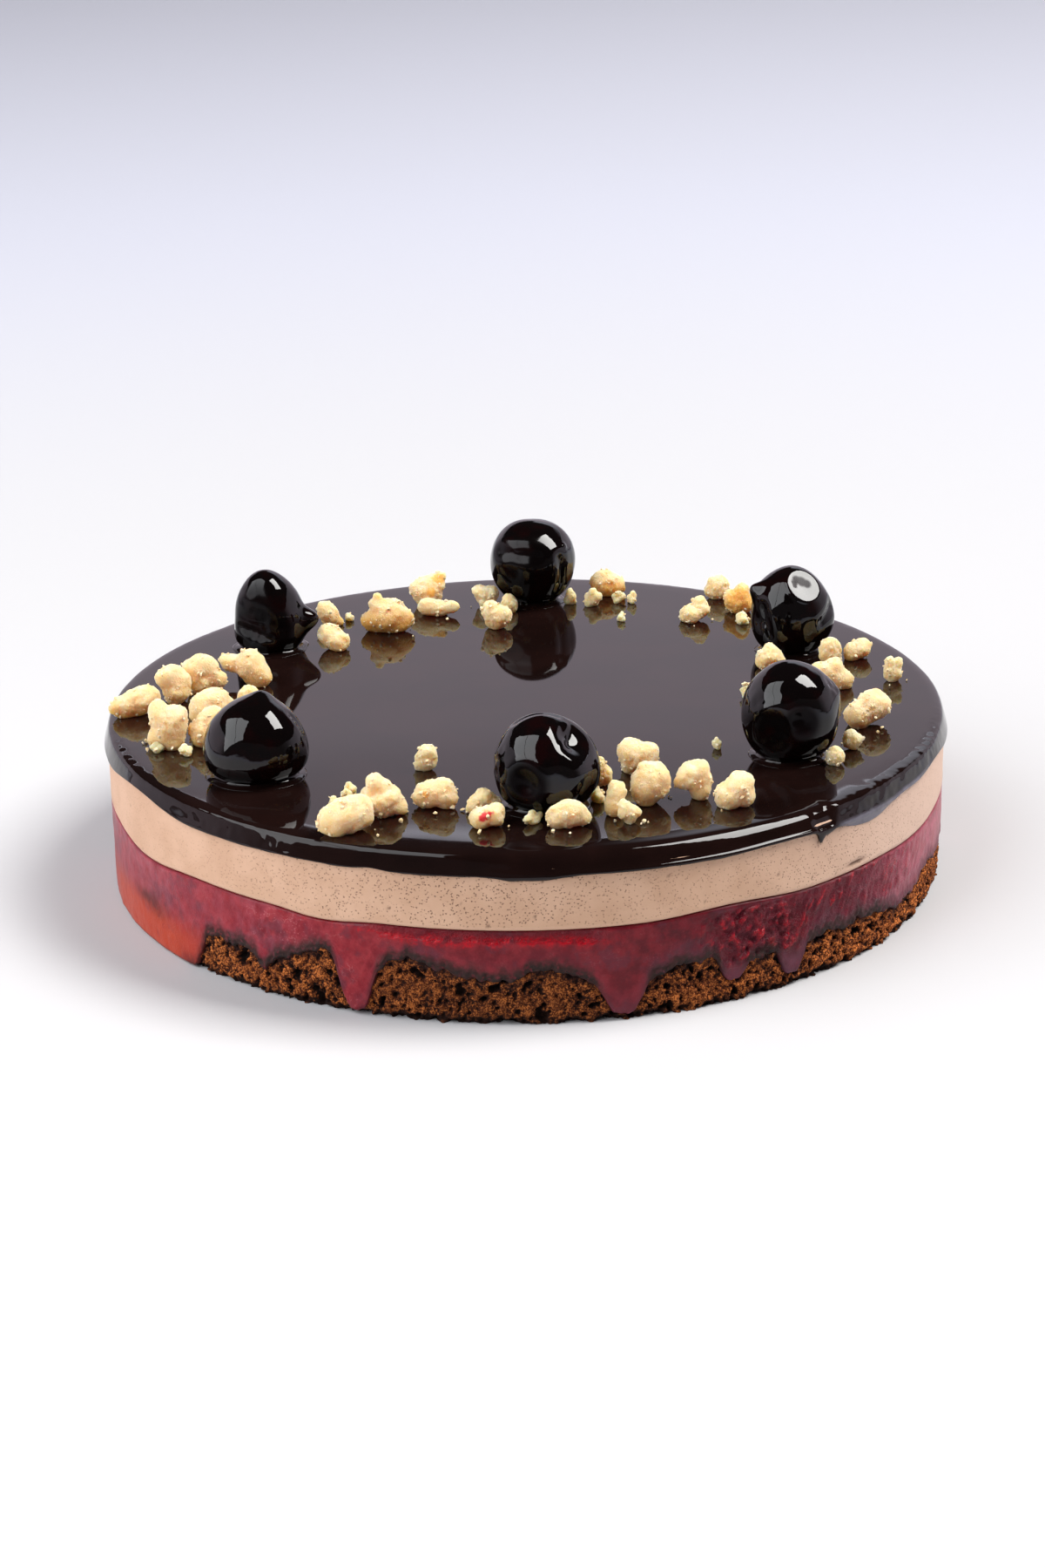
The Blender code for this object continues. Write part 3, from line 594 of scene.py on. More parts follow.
class Nodes:
    """Adds shader nodes to a tree; most methods return the new node's output."""

    def __init__(self, tree, coordinates):
        self.tree = tree
        self.place = self.add("ShaderNodeTexCoord").outputs[coordinates]

    def add(self, kind, inputs=None, **options):
        """A new node, its options set and its inputs set or linked, by name or number."""
        node = self.tree.nodes.new(kind)
        for option, value in options.items():
            setattr(node, option, value)
        for socket, value in (inputs or {}).items():
            self.put(value, node.inputs[socket])
        return node

    def put(self, value, socket):
        """Links an output, or sets a plain number or colour."""
        if isinstance(value, bpy.types.NodeSocket):
            self.tree.links.new(value, socket)
        else:
            socket.default_value = (*value, 1.0) if socket.type == "RGBA" else value

    def noise(self, size, detail=3.0, roughness=0.5):
        """Noise in features about size mm across."""
        inputs = {"Vector": self.place, "Scale": 1.0 / (size * MM), "Detail": detail,
                  "Roughness": roughness}
        return self.add("ShaderNodeTexNoise", inputs).outputs["Fac"]

    def cells(self, size):
        inputs = {"Vector": self.place, "Scale": 1.0 / (size * MM)}
        return self.add("ShaderNodeTexVoronoi", inputs).outputs["Distance"]

    def mask(self, name):
        return self.add("ShaderNodeAttribute", attribute_name=name).outputs["Fac"]

    def between(self, value, low, high, start=0.0, end=1.0):
        """Maps low..high of a value to start..end, smoothly and held at both ends."""
        inputs = dict(enumerate((value, low, high, start, end)))
        node = self.add("ShaderNodeMapRange", inputs, interpolation_type="SMOOTHSTEP")
        return node.outputs["Result"]

    def maths(self, kind, first, second=0.0):
        return self.add("ShaderNodeMath", {0: first, 1: second}, operation=kind).outputs[0]

    def times(self, first, *others):
        """The product of several values."""
        for other in others:
            first = self.maths("MULTIPLY", first, other)
        return first

    def mix(self, share, first, second):
        inputs = {0: share, 6: first, 7: second}
        return self.add("ShaderNodeMix", inputs, data_type="RGBA").outputs[2]


class Recipe(Nodes):
    """A Principled material that starts from one colour, which others then cover."""

    def __init__(self, name, colour, **settings):
        self.material = bpy.data.materials.new(name)
        self.material.use_nodes = True
        MATERIALS[name] = self.material
        super().__init__(self.material.node_tree, "Object")
        self.shader = self.tree.nodes["Principled BSDF"]
        self.colour = colour
        self.finish(**settings)

    def finish(self, **inputs):
        """Sets or links inputs of the shader, written with _ for a space."""
        for socket, value in inputs.items():
            self.put(value, self.shader.inputs[socket.replace("_", " ")])

    def cover(self, colour, *shares):
        """Lays a colour over the ones so far, as strongly as the product of the shares."""
        self.colour = self.mix(self.times(*shares), self.colour, colour)
        self.finish(Base_Color=self.colour)

    def relief(self, height, depth, **normal):
        """A bump of this depth, in mm, over a height from 0 to 1."""
        inputs = {"Strength": 1.0, "Distance": depth * MM, "Height": height, **normal}
        return self.add("ShaderNodeBump", inputs).outputs["Normal"]


def make_sponge():
    r = Recipe("sponge", (0.140, 0.031, 0.007), Roughness=0.92, Specular_IOR_Level=0.2)
    fine = r.noise(0.55, 4.0, 0.7)
    depth = r.maths("ADD", r.mask("depth"), r.between(fine, 0.38, 0.62, 0.24, -0.24))
    r.cover((0.80, 0.240, 0.054), r.between(r.noise(0.34, 2.0), 0.42, 0.60))
    r.cover((0.110, 0.024, 0.006), r.between(r.noise(3.0), 0.42, 0.62, 0.0, 0.5))
    # Painted shade: the deeper a point lies in a pore, a cave or the tucked-in foot, the darker it
    # is.
    r.cover((0.070, 0.015, 0.004), r.between(depth, 0.22, 0.42))
    r.cover((0.005, 0.0016, 0.001), r.between(depth, 0.40, 0.66))
    # Painted shade: darker low down and at the front, less of it towards the right.
    r.cover((0.020, 0.006, 0.003), r.mask("shade"), 0.75)
    r.cover((0.018, 0.007, 0.007), r.mask("soak"), 0.9)
    r.finish(Normal=r.relief(fine, 0.45))


def make_filling():
    r = Recipe("filling", (0.200, 0.006, 0.014), IOR=1.40, Specular_IOR_Level=0.32)
    cloud = r.between(r.noise(4.0, 4.0, 0.65), 0.36, 0.64)
    r.cover((0.300, 0.022, 0.030), cloud)
    r.cover(r.mix(cloud, (0.064, 0.0020, 0.0070), (0.150, 0.0050, 0.0125)), r.mask("deep"))
    r.cover((0.095, 0.018, 0.032), r.between(r.noise(7.0, 4.0, 0.65), 0.50, 0.64, 0.0, 0.6))
    # A paler pink haze, partly painted light: it lightens the filling, most at the right where
    # little light falls.
    haze_and_light = r.between(r.noise(1.6, 4.0, 0.6), 0.3, 0.7, 0.5, 1.0)
    r.cover((0.440, 0.105, 0.150), r.mask("haze_and_light"), haze_and_light)
    r.cover((0.145, 0.046, 0.080), r.mask("dusk"), 0.8)
    fleck = r.between(r.noise(0.50, 3.0, 0.6), 0.60, 0.70)
    flecked = r.between(r.noise(5.0, 2.0), 0.48, 0.62, 0.05, 0.75)
    r.cover((0.50, 0.17, 0.19), fleck, flecked, r.mask("pale"))
    line = r.maths("ABSOLUTE", r.maths("SUBTRACT", r.noise(3.2, 3.0, 0.6), 0.5))
    veined = r.between(r.noise(4.0, 1.0), 0.52, 0.60, 0.0, 0.5)
    r.cover((0.60, 0.24, 0.25), r.between(line, 0.012, 0.0), veined, r.mask("pale"))
    # Painted light: an orange glow low on the left.
    r.cover((0.44, 0.046, 0.016), r.mask("glow"))
    # Darker red on the torn lumps and scratches, and painted shade on the ledge set back under the
    # mousse.
    r.cover((0.110, 0.004, 0.013), r.mask("torn"), r.mask("deep"), 0.6)
    # A bright red line under the ledge, with painted glints that sparkle along it and over the torn
    # lumps and scratches.
    glint_sparkle = r.between(r.noise(0.55, 3.0, 0.6), 0.42, 0.60, 0.35, 1.0)
    r.cover((0.46, 0.002, 0.010), r.mask("red_line_and_glints"), glint_sparkle)
    smudge = r.between(r.noise(0.9), 0.30, 0.52, 0.55, 1.0)
    r.cover((0.035, 0.014, 0.012), r.mask("stain"), smudge)
    r.cover((0.012, 0.008, 0.007), r.mask("blots"), r.between(r.noise(0.7), 0.40, 0.52))
    r.cover((0.115, 0.001, 0.006), r.mask("seam"), 0.85)
    wet = r.between(r.mask("torn"), 0.0, 0.6, 0.34, 0.12)
    wet = r.maths("ADD", wet, r.times(r.mask("stain"), 0.3))
    torn = r.times(r.noise(0.45, 3.0, 0.7), r.mask("torn"))
    fine = r.relief(r.noise(0.42, 3.0, 0.6), 0.08)
    r.finish(Roughness=wet, Normal=r.relief(torn, 0.45, Normal=fine))


def make_mousse():
    r = Recipe("mousse", (0.590, 0.362, 0.236), Roughness=0.62, Specular_IOR_Level=0.3)
    r.cover((0.655, 0.415, 0.280), r.between(r.noise(9.0), 0.35, 0.65))
    r.cover((0.70, 0.45, 0.31), r.mask("rim"))
    # Painted light: the mousse lighter and cooler towards the right.
    r.cover((0.63, 0.455, 0.365), r.mask("lit_right"))
    chosen = r.between(r.noise(0.9, 2.0), 0.38, 0.50)
    # Painted shade in the pores, which the bump also sinks in.
    shaded_pore = r.times(r.between(r.cells(0.55), 0.16, 0.34, 1.0, 0.0), chosen, r.mask("porous"))
    r.cover((0.16, 0.080, 0.048), shaded_pore, 0.72)
    # Painted shade in the pits and the crack.
    r.cover((0.13, 0.06, 0.035), r.mask("shaded_pit"))
    r.finish(Normal=r.relief(r.maths("SUBTRACT", 1.0, shaded_pore), 0.16))


def make_glaze():
    r = Recipe("glaze", (0.0060, 0.0026, 0.0022), Roughness=0.035, IOR=1.35)
    r.cover((0.0090, 0.0036, 0.0030), r.between(r.noise(14.0), 0.35, 0.65))
    cloud = r.between(r.noise(2.4), 0.3, 0.6, 0.7, 1.0)
    r.cover((0.125, 0.115, 0.145), r.mask("thin"), cloud)
    bubble = r.between(r.cells(2.6), 0.045, 0.075, 1.0, 0.0)
    r.cover((0.006, 0.004, 0.004), bubble, r.mask("thin"))


def make_cherry():
    r = Recipe("cherry", (0.0020, 0.0012, 0.0012), IOR=1.42)
    r.cover((0.0050, 0.0010, 0.0010), r.between(r.noise(5.0), 0.45, 0.7))
    # Painted shade: the dull places reflect darker, so hollows and small spots in a highlight read
    # dark.
    r.finish(Roughness=r.between(r.mask("dull_shade"), 0.0, 1.0, 0.03, 0.22),
             Specular_Tint=r.mix(r.mask("dull_shade"), (1.0, 1.0, 1.0), (0.12, 0.11, 0.12)),
             Normal=r.relief(r.noise(2.2, 2.0, 0.4), 0.05))


def make_crumble():
    r = Recipe("crumble", (0.95, 0.675, 0.365), Roughness=0.75, Specular_IOR_Level=0.2,
               Subsurface_Weight=0.9, Subsurface_Radius=(1.0, 0.70, 0.36),
               Subsurface_Scale=3.2 * MM)
    sand = r.noise(0.40, 4.0, 0.65)
    r.cover((0.97, 0.745, 0.470), r.between(r.noise(2.6), 0.38, 0.66))
    r.cover((0.88, 0.46, 0.12), r.mask("toast"))
    r.cover((0.98, 0.81, 0.59), r.between(sand, 0.54, 0.66, 0.0, 0.3))
    r.cover((0.70, 0.055, 0.060), r.mask("tint"))
    r.finish(Normal=r.relief(sand, 0.36))


def make_grain():
    r = Recipe("grain", (0.93, 0.64, 0.35), Roughness=0.60, Specular_IOR_Level=0.3,
               Subsurface_Weight=0.5, Subsurface_Radius=(1.0, 0.8, 0.5),
               Subsurface_Scale=0.8 * MM)
    r.cover((0.97, 0.76, 0.50), r.between(r.noise(1.6, 2.0), 0.4, 0.6))


def make_floor():
    r = Recipe("floor", FLOOR_NEAR, Roughness=0.6, Specular_IOR_Level=0.2)
    # Painted light: lighter and bluer with distance from the middle.
    away = r.add("ShaderNodeVectorMath", {0: r.place}, operation="LENGTH").outputs["Value"]
    r.cover(FLOOR_FAR, r.between(away, *FLOOR_FADE))


# ---------------- the layers

ANGLES = around(COLUMNS)


def build_sponge():
    """The torn, porous side; pores and caves go inwards, and its foot is tucked in. Its masks paint
    shade into the pores, caves and foot, low down and at the front.
    """
    angles = around(SPONGE_COLUMNS)
    angle = angles[:, None]
    edge = ragged_edge(angle)
    height = np.minimum(edge + 1.6, SPONGE_TOP - 0.2) * np.linspace(0.0, 1.0, SPONGE_ROWS)
    outer = CAKE_RADIUS - SPONGE_SET_IN
    core = CAKE_RADIUS - SKIRT - GAP
    spots = on_circle(angle, outer, height)
    lumps = rough(spots, 4.0, 1, 2)
    grit = rough(spots, 1.15, 2, 2)
    pores = smooth(cells(spots, 1.7, 5), 0.40, 0.14)
    caves = smooth(rough(spots, 2.6, 3, 2), 0.34, 0.62)
    depth = np.clip(0.38 + 0.25 * lumps + 0.55 * grit + 0.75 * pores + 1.5 * caves, -0.10, 2.3)
    tuck = smooth(height, 1.9, 0.0) * (0.9 + 0.9 * lumps + 0.5 * grit)
    # Above its edge the side turns in to the core, behind the filling.
    hidden = smooth(height, edge + 0.3, edge + 1.2)
    radius = (outer - depth - np.maximum(tuck, 0.1)) * (1.0 - hidden) + core * hidden
    soak = smooth(height, edge - 2.4, edge - 0.2) * smooth(lumps + 0.8 * grit, -0.6, 0.3)
    soak = soak * (0.25 + 0.75 * beside_drips(angle))
    # Painted shade: darker low down and at the front, lighter towards the right.
    shade = smooth(height, 2.6, 0.2) * (0.7 + 0.5 * lumps)
    shade += swells(angle, SPONGE_SHADE) + 0.14 * (1.0 - rightwards(angle, *SPONGE_BRIGHTENS))
    # The depth mask also darkens the colour, as painted shade in pores, caves and the foot.
    masks = {"depth": (depth + tuck) / 1.5, "soak": soak, "shade": shade}
    build_layer("sponge", angles, [], (radius, height), [(core, SPONGE_TOP)], masks)


def filling_side():
    """The filling's shown side: angle, heights, and the noise that its marks follow."""
    angle = ANGLES[:, None]
    shown = 1.0 - covered(angle)
    low = np.maximum(ragged_edge(angle) - 0.1 * shown, 0.0)
    top = filling_edge(angle)
    height = low + (top - low) * np.linspace(0.0, 1.0, FILLING_ROWS)
    spots = on_circle(angle, CAKE_RADIUS, height)
    return SimpleNamespace(
        angle=angle, shown=shown, low=low, height=height, above=height - low, below=top - height,
        broad=rough(spots, 9.0, 22), small=rough(spots, 1.8, 23), patches=rough(spots, 2.4, 25),
        lumps=rough(spots, 1.5, 28, 2), grit=rough(spots, 0.95, 26, 2),
        strokes=slanted(angle, height, lean=24.0, length=3.6, width=0.9, seed=24))


def torn_stretches(side):
    """Masks of the torn stretch and of the scratched one right of it."""
    torn = bump(side.angle, *TORN_PLACE) * smooth(side.height, 6.5, 10.0)
    scratched = bump(side.angle, *SCRATCHED_PLACE) * smooth(side.height, 9.0, 12.5)
    return held(1.5 * torn * smooth(side.below, 0.6, 2.4)), scratched * smooth(side.below, 0.0, 0.8)


def ledge(side):
    """Masks of the ledge along the front, set back and darkened with painted shade under the mousse,
    and of the bright line under it.
    """
    depth = 0.2 + 2.1 * smooth(side.angle, *LEDGE_SINKS) + 0.55 * side.small + 0.5 * side.broad
    set_back = within(side.angle, LEDGE_ARC) * smooth(side.below, depth + 0.25, depth - 0.25)
    width = np.maximum(0.22 + 0.75 * smooth(side.angle, *LINE_WIDENS) + 0.30 * side.small, 0.1)
    line = within(side.angle, LINE_ARC) * np.exp(-((side.below - depth) / width) ** 2)
    return set_back, held(1.3 * line * smooth(side.patches + side.lumps, -0.9, 0.3))


def stains(side):
    """Masks of the brown stain above the sponge and of the black blots at the sponge's edge."""
    beside = beside_drips(side.angle)
    behind = 1.0 - smooth(apart(side.angle, FRONT), *STAIN_BEHIND)
    amount = (swells(side.angle, STAIN_SWELLS) + 0.8 * behind) * (0.1 + 0.9 * beside)
    amount = amount * (1.0 - 0.6 * rightwards(side.angle, *STAIN_FADES))
    stain = smooth(side.above, 4.2 + 2.2 * side.patches, 1.2) * held(1.5 * amount)
    blots = smooth(side.above, 2.2 + 1.6 * side.lumps, 0.1) * held(amount + 0.3 * beside)
    return stain * side.shown, blots * smooth(side.patches, -0.35, 0.3) * side.shown


def tints(side, red_line_and_glints):
    """Masks of the filling's colours, among them painted light in the orange glow and the haze, and
    the blurred spots in the orange light.
    """
    angle = side.angle
    height = side.height
    patches = side.patches
    glow = 1.4 * bump(angle, *GLOW_PLACE) * smooth(height, 12.0, 4.0) * smooth(patches, -1.2, 0.0)
    blur = 0.7 * bump(angle, *BLUR_PLACE) * np.exp(-((height - 9.5 - 2.0 * side.broad) / 2.4) ** 2)
    blur += 0.9 * bump(angle, *FOOT_BLUR_PLACE) * smooth(height, 4.0, 0.0)
    dusk = smooth(side.above, 6.5, 0.5) * (0.25 + 0.75 * rightwards(angle, *DUSK_GROWS))
    dusk = dusk * (0.75 + 0.5 * patches) * side.shown * (1.0 - red_line_and_glints)
    dusk = dusk * (1.0 - 0.4 * rightwards(angle, *DUSK_FADES))
    deep = 0.55 * rightwards(angle, *DEEP_BEGINS) + 0.45 * rightwards(angle, *DEEP_GROWS)
    deep = deep * (1.0 - 0.55 * rightwards(angle, *DEEP_FADES))
    # The haze is partly painted light, strongest at the right where little light falls.
    haze_and_light = 0.55 * bump(angle, *LEFT_HAZE) * (0.6 + 0.5 * patches) * smooth(height, 6.0, 11.0)
    haze_and_light += 0.85 * rightwards(angle, *RIGHT_HAZE) * (0.80 + 0.5 * patches)
    haze_and_light += 0.22 * bump(angle, *FRONT_HAZE) * (0.6 + patches)
    pale = 0.6 * bump(angle, *PALE_PLACE) + 0.12 + 0.4 * haze_and_light
    seam = smooth(side.below, 0.45, 0.10) * (1.0 - 0.5 * rightwards(angle, *SEAM_FADES))
    return {"glow": glow, "dusk": dusk, "deep": deep, "haze_and_light": haze_and_light, "pale": pale, "seam": seam}, blur


def build_filling():
    side = filling_side()
    torn, scratched = torn_stretches(side)
    set_back, red_line_and_glints = ledge(side)
    stain, blots = stains(side)
    # Painted red glints on the torn lumps and along the scratches join the bright red line.
    red_line_and_glints += 0.85 * torn * smooth(side.lumps + 0.6 * side.strokes, 0.10, 0.55)
    red_line_and_glints = held(red_line_and_glints + 0.85 * scratched * smooth(side.strokes, 0.34, 0.58))
    relief = 0.14 * side.broad + 0.06 * side.small + 0.34 * stain * side.grit
    relief += 0.75 * torn * (side.lumps + 0.6 * side.strokes - 0.10)
    relief += 0.55 * scratched * side.strokes - 0.55 * set_back * (1.0 + 0.5 * side.lumps)
    relief += 0.22 * bump(side.angle, *STREAKED_PLACE) * np.minimum(side.strokes, 0.2)
    # Both edges are rounded, except where the filling reaches down to the foot.
    bead = np.sqrt(held(side.above / 0.6)) * side.shown + 1.0 - side.shown
    brow = np.sqrt(held(side.below / 0.35))
    radius = CAKE_RADIUS - FILLING_SET_IN + np.minimum(relief, 0.6)
    radius -= 0.75 * (1.0 - bead) + 0.5 * (1.0 - brow)
    masks, blur = tints(side, red_line_and_glints)
    # The torn mask also carries the set-back ledge, whose darkening is painted shade under the
    # mousse.
    masks |= {"red_line_and_glints": red_line_and_glints, "stain": stain + blur, "blots": blots,
              "torn": torn + 0.7 * scratched + set_back}
    inner = CAKE_RADIUS - SKIRT
    lower = [(inner, SPONGE_TOP + GAP), (inner, side.low + 0.5 * side.shown)]
    build_layer("filling", ANGLES, lower, (radius, side.height),
                [(CAKE_RADIUS - 4.0, FILLING_TOP)], masks)


def build_mousse():
    angle = ANGLES[:, None]
    low = filling_edge(angle) + 0.12
    height = low + (MOUSSE_TOP - 1.0 - low) * np.linspace(0.0, 1.0, MOUSSE_ROWS)
    above = height - low
    spots = on_circle(angle, CAKE_RADIUS, height)
    porous = held(0.30 + swells(angle, POROUS_SWELLS)) * smooth(above, 0.5, 1.1)
    # Pits and the crack are sunk in, and their colour is darkened as painted shade.
    shaded_pit = smooth(cells(spots, 4.2, 33), 0.11, 0.04) * porous
    crack_angle, crack_height = CRACK_PLACE
    crack = np.exp(-((angle - crack_angle) / 1.5) ** 2 - ((height - crack_height) / 0.38) ** 2)
    crack = held(1.4 * crack)
    relief = 0.10 * rough(spots, 12.0, 31) + 0.03 * rough(spots, 2.0, 32)
    relief -= 0.22 * shaded_pit + 0.5 * crack
    foot = np.sqrt(held(above / 0.35))
    radius = CAKE_RADIUS - MOUSSE_SET_IN + np.minimum(relief, 0.15) - 0.4 * (1.0 - foot)
    # The last mask is painted light: lighter and cooler towards the right.
    masks = {"porous": porous, "shaded_pit": shaded_pit + crack, "rim": 0.7 * smooth(above, 1.0, 0.5),
             "lit_right": 0.8 * rightwards(angle, *MOUSSE_LIT_RIGHT)}
    build_layer("mousse", ANGLES, [(CAKE_RADIUS - 5.0, FILLING_TOP + GAP)], (radius, height),
                [(CAKE_RADIUS - 1.3, MOUSSE_TOP)], masks)


def curve_through(points, steps):
    """A smooth curve through points: an array (columns, points, 2) becomes finer rows."""
    padded = np.concatenate([points[:, :1], points, points[:, -1:]], axis=1)
    rows = []
    for index in range(points.shape[1] - 1):
        a, b, c, d = (padded[:, index + shift] for shift in range(4))
        for t in np.arange(steps) / steps:
            rows.append(0.5 * (2 * b + (c - a) * t + (2 * a - 5 * b + 4 * c - d) * t ** 2
                               + (3 * b - a - 3 * c + d) * t ** 3))
    rows.append(points[:, -1])
    return np.stack(rows, axis=1)


def lip_profile(angle, low, film):
    """The lip's points from the flat outwards: distances inwards, heights, and its crest."""
    wide = within(angle, LIP_WIDE_ARC)
    tall = np.minimum(GLAZE_TOP - low, LIP_HEIGHT)
    tight_in, tight_drop = np.array(LIP_TIGHT).T
    wide_in, wide_drop = np.array(LIP_WIDE).T
    inwards = [tight_in * (1.0 - wide) + wide_in * wide]
    heights = [GLAZE_TOP - (tight_drop * (1.0 - wide) + wide_drop * wide) * tall]
    crest = heights[0][:, -1:]
    for inward, more, share, least in LIP_TAIL:
        inwards.append(inward + more * film)
        heights.append(low + np.maximum(share * (crest - low), least))
    return np.concatenate(inwards, 1), np.concatenate(heights, 1), crest


def build_glaze():
    angle = ANGLES[:, None]
    low = lip_bottom(angle)
    film = within(angle, FILM_ARC)
    ring = on_circle(angle, CAKE_RADIUS, 0.0)
    inwards, heights, crest = lip_profile(angle, low, film)
    outer = CAKE_RADIUS + LIP_REACH - LIP_SET_IN + 0.10 * rough(ring, 16.0, 41, 2)
    lip = curve_through(np.stack([outer - inwards, heights], -1), LIP_STEPS)[:, ::-1]
    radii = lip[:, :, 0]
    heights = lip[:, :, 1]
    # Bumps along the shoulder where the glaze has set unevenly, small ripples at the edge.
    shoulder = smooth(radii, CAKE_RADIUS - 3.2, CAKE_RADIUS - 1.4) * smooth(heights, low, low + 1.5)
    spots = on_circle(angle, radii, heights)
    knobs = waves(spots, 3.4, 45) + 0.5 * waves(spots, 1.5, 46)
    knobs = knobs * shoulder * (0.02 + 0.16 * swells(angle, LIP_UNEVEN))
    radii = np.minimum(radii + 0.8 * knobs, CAKE_RADIUS + LIP_REACH)
    heights = heights + 0.6 * knobs
    edge = smooth(heights, crest, low) * (radii > CAKE_RADIUS - 0.5)
    heights = heights + edge * 0.22 * rough(ring, 5.0, 42, 2)
    # The flat, in rings towards the middle, with a slow swell that bends its reflections.
    ones = np.ones((COLUMNS, 1))
    radii = np.concatenate([radii, ones * GLAZE_RINGS], 1)
    heights = np.concatenate([heights, ones * np.full(len(GLAZE_RINGS), GLAZE_TOP)], 1)
    swell = 0.035 * waves(on_circle(angle, radii, heights), 26.0, 43)
    heights = np.minimum(heights + swell * (heights > GLAZE_TOP - 0.5), GLAZE_TOP + 0.1)
    thin = film * smooth(heights, crest + 0.9, crest + 0.3)
    thin = thin * smooth(radii, CAKE_RADIUS - 0.6, CAKE_RADIUS)
    lower = [(CAKE_RADIUS - 8.0, MOUSSE_TOP + GAP), (CAKE_RADIUS + 0.02, heights[:, :1] + 0.05)]
    build_layer("glaze", ANGLES, lower, (radii, heights), [], {"thin": thin})


# ---------------- cherries

def unit(direction):
    """The direction with length 1."""
    return np.array(direction) / np.linalg.norm(direction)


def away_from(directions, centre, half_angle=1.0):
    """Angle from each direction to a centre, as a multiple of half_angle."""
    return np.arccos(np.clip(directions @ unit(centre), -1.0, 1.0)) / half_angle


def spot_at(directions, centre, half_angle, sharpness=2):
    """1 at a centre, fading out about half_angle from it."""
    return np.exp(-away_from(directions, centre, half_angle) ** sharpness)


def arc_distance(directions, first, last):
    """Angle in radians from each direction to the arc between two directions."""
    share = np.linspace(0.0, 1.0, 25)[:, None]
    arc = unit(first) * (1.0 - share) + unit(last) * share
    arc /= np.linalg.norm(arc, axis=1, keepdims=True)
    return np.arccos(np.clip((directions @ arc.T).max(1), -1.0, 1.0))


def rows_of(table, number):
    """The rows of a table that belong to this piece, without their first column."""
    return [row[1:] for row in table if row[0] == number]


def flattened(points, share):
    """Cuts off the lowest share of the height flat and lowers the piece onto z = 0."""
    lowest = points[:, 2].min()
    floor = lowest + share * (points[:, 2].max() - lowest)
    height = np.maximum(points[:, 2], floor + FLAT_REMAINS * (points[:, 2] - floor))
    return np.column_stack([points[:, :2], height - floor + FLAT_REMAINS * (floor - lowest)])


def fitted(points, axis, size):
    """Scales points along one axis to exactly this size, standing on z = 0."""
    low = points[:, axis].min()
    base = 0.0 if axis == 2 else -0.5
    points = points.copy()
    points[:, axis] = ((points[:, axis] - low) / np.ptp(points[:, axis]) + base) * size
    return points


def cherry_reach(directions, row, number):
    """Distance from a cherry's middle to its skin in each direction."""
    _, _, width, height, (upper, lower, lower_share), marks = row
    below = directions[:, 2] < 0.0
    level = np.hypot(directions[:, 0], directions[:, 1]) / (0.5 * width)
    tall = np.where(below, lower_share, 1.0 - lower_share) * height
    power = np.where(below, lower, upper)
    reach = (level ** power + (np.abs(directions[:, 2]) / tall) ** power) ** (-1.0 / power)
    for centre, rise, half_angle, sharpness in marks:
        reach = reach + rise * spot_at(directions, centre, half_angle, sharpness)
    for first, last, depth, half_width in rows_of(CHERRY_FOLDS, number):
        away = arc_distance(directions, first, last) / half_width
        reach = reach - depth * np.exp(-away ** 2) + 0.3 * depth * np.exp(-(away - 2.2) ** 2)
    for centre, half_angle, depth, size in rows_of(CHERRY_PATCHES, number):
        folds = sampled(noise.noise, directions / size + [3.0 * number, 1.0, 2.0])
        reach = reach + depth * folds * spot_at(directions, centre, half_angle, 3)
    for centre, facing, share in rows_of(CHERRY_FACETS, number):
        slant = np.cos(away_from(directions, facing))
        plane = share * 0.5 * width / np.maximum(slant, 0.2)
        flat = smooth(away_from(directions, centre), *FACET_EDGE)
        reach = reach * (1.0 - flat) + np.minimum(plane, reach + 1.0) * flat
    for centre, depth, half_angle in rows_of(CHERRY_DIMPLES, number):
        reach = reach - depth * spot_at(directions, centre, half_angle)
    uneven = sampled(noise.noise, directions * CHERRY_WAVES + [7.0 * number, 0.0, 0.0])
    return reach * (1.0 + CHERRY_WRINKLE * uneven)


def cherry_dull_shade(directions, number):
    """1 where a cherry is dull and its reflection darkened as painted shade, 0 elsewhere."""
    dull_shade = np.zeros(len(directions))
    for centre, half_angle, amount in rows_of(CHERRY_DULL_SHADE, number):
        dull_shade = np.maximum(dull_shade, amount * smooth(away_from(directions, centre, half_angle), 1.2, 0.7))
    return dull_shade


def build_collar(points, spot, number):
    """The syrup that gathers in a hollow ring at a cherry's foot."""
    level = points - spot
    turn = np.degrees(np.arctan2(level[:, 1], level[:, 0])) % 360.0
    away = np.hypot(level[:, 0], level[:, 1])
    low_down = (level[:, 2] < COLLAR_HEIGHT + 0.5) & (level[:, 2] > 0.2)
    angles = around(COLLAR_COLUMNS)
    reach = []
    for angle in angles:
        beside = apart(turn, angle) < 5.0
        near = beside & low_down
        reach.append(away[near].max() if near.any() else away[beside].min())
    reach = sum(np.roll(reach, shift) for shift in range(-3, 4))[:, None] / 7.0
    ring = on_circle(angles, 6.0, 0.0)
    uneven = 1.0 + 0.35 * waves(ring, 3.0, COLLAR_FIRST_SEED + number)[:, None]
    share = np.linspace(0.0, 1.0, COLLAR_ROWS)
    curve = (1.0 - np.sqrt(1.0 - (1.0 - share) ** 2)) * COLLAR_HEIGHT
    radii = np.concatenate([reach - 0.5 + (0.5 + COLLAR_WIDTH * uneven) * share, reach - 1.5], 1)
    heights = np.concatenate([0.05 + curve * uneven, np.full(reach.shape, -0.05)], 1)
    body = on_circle(angles[:, None], radii, heights)
    return body.reshape(-1, 3) + spot, np.array(grid_faces(*radii.shape)), {}


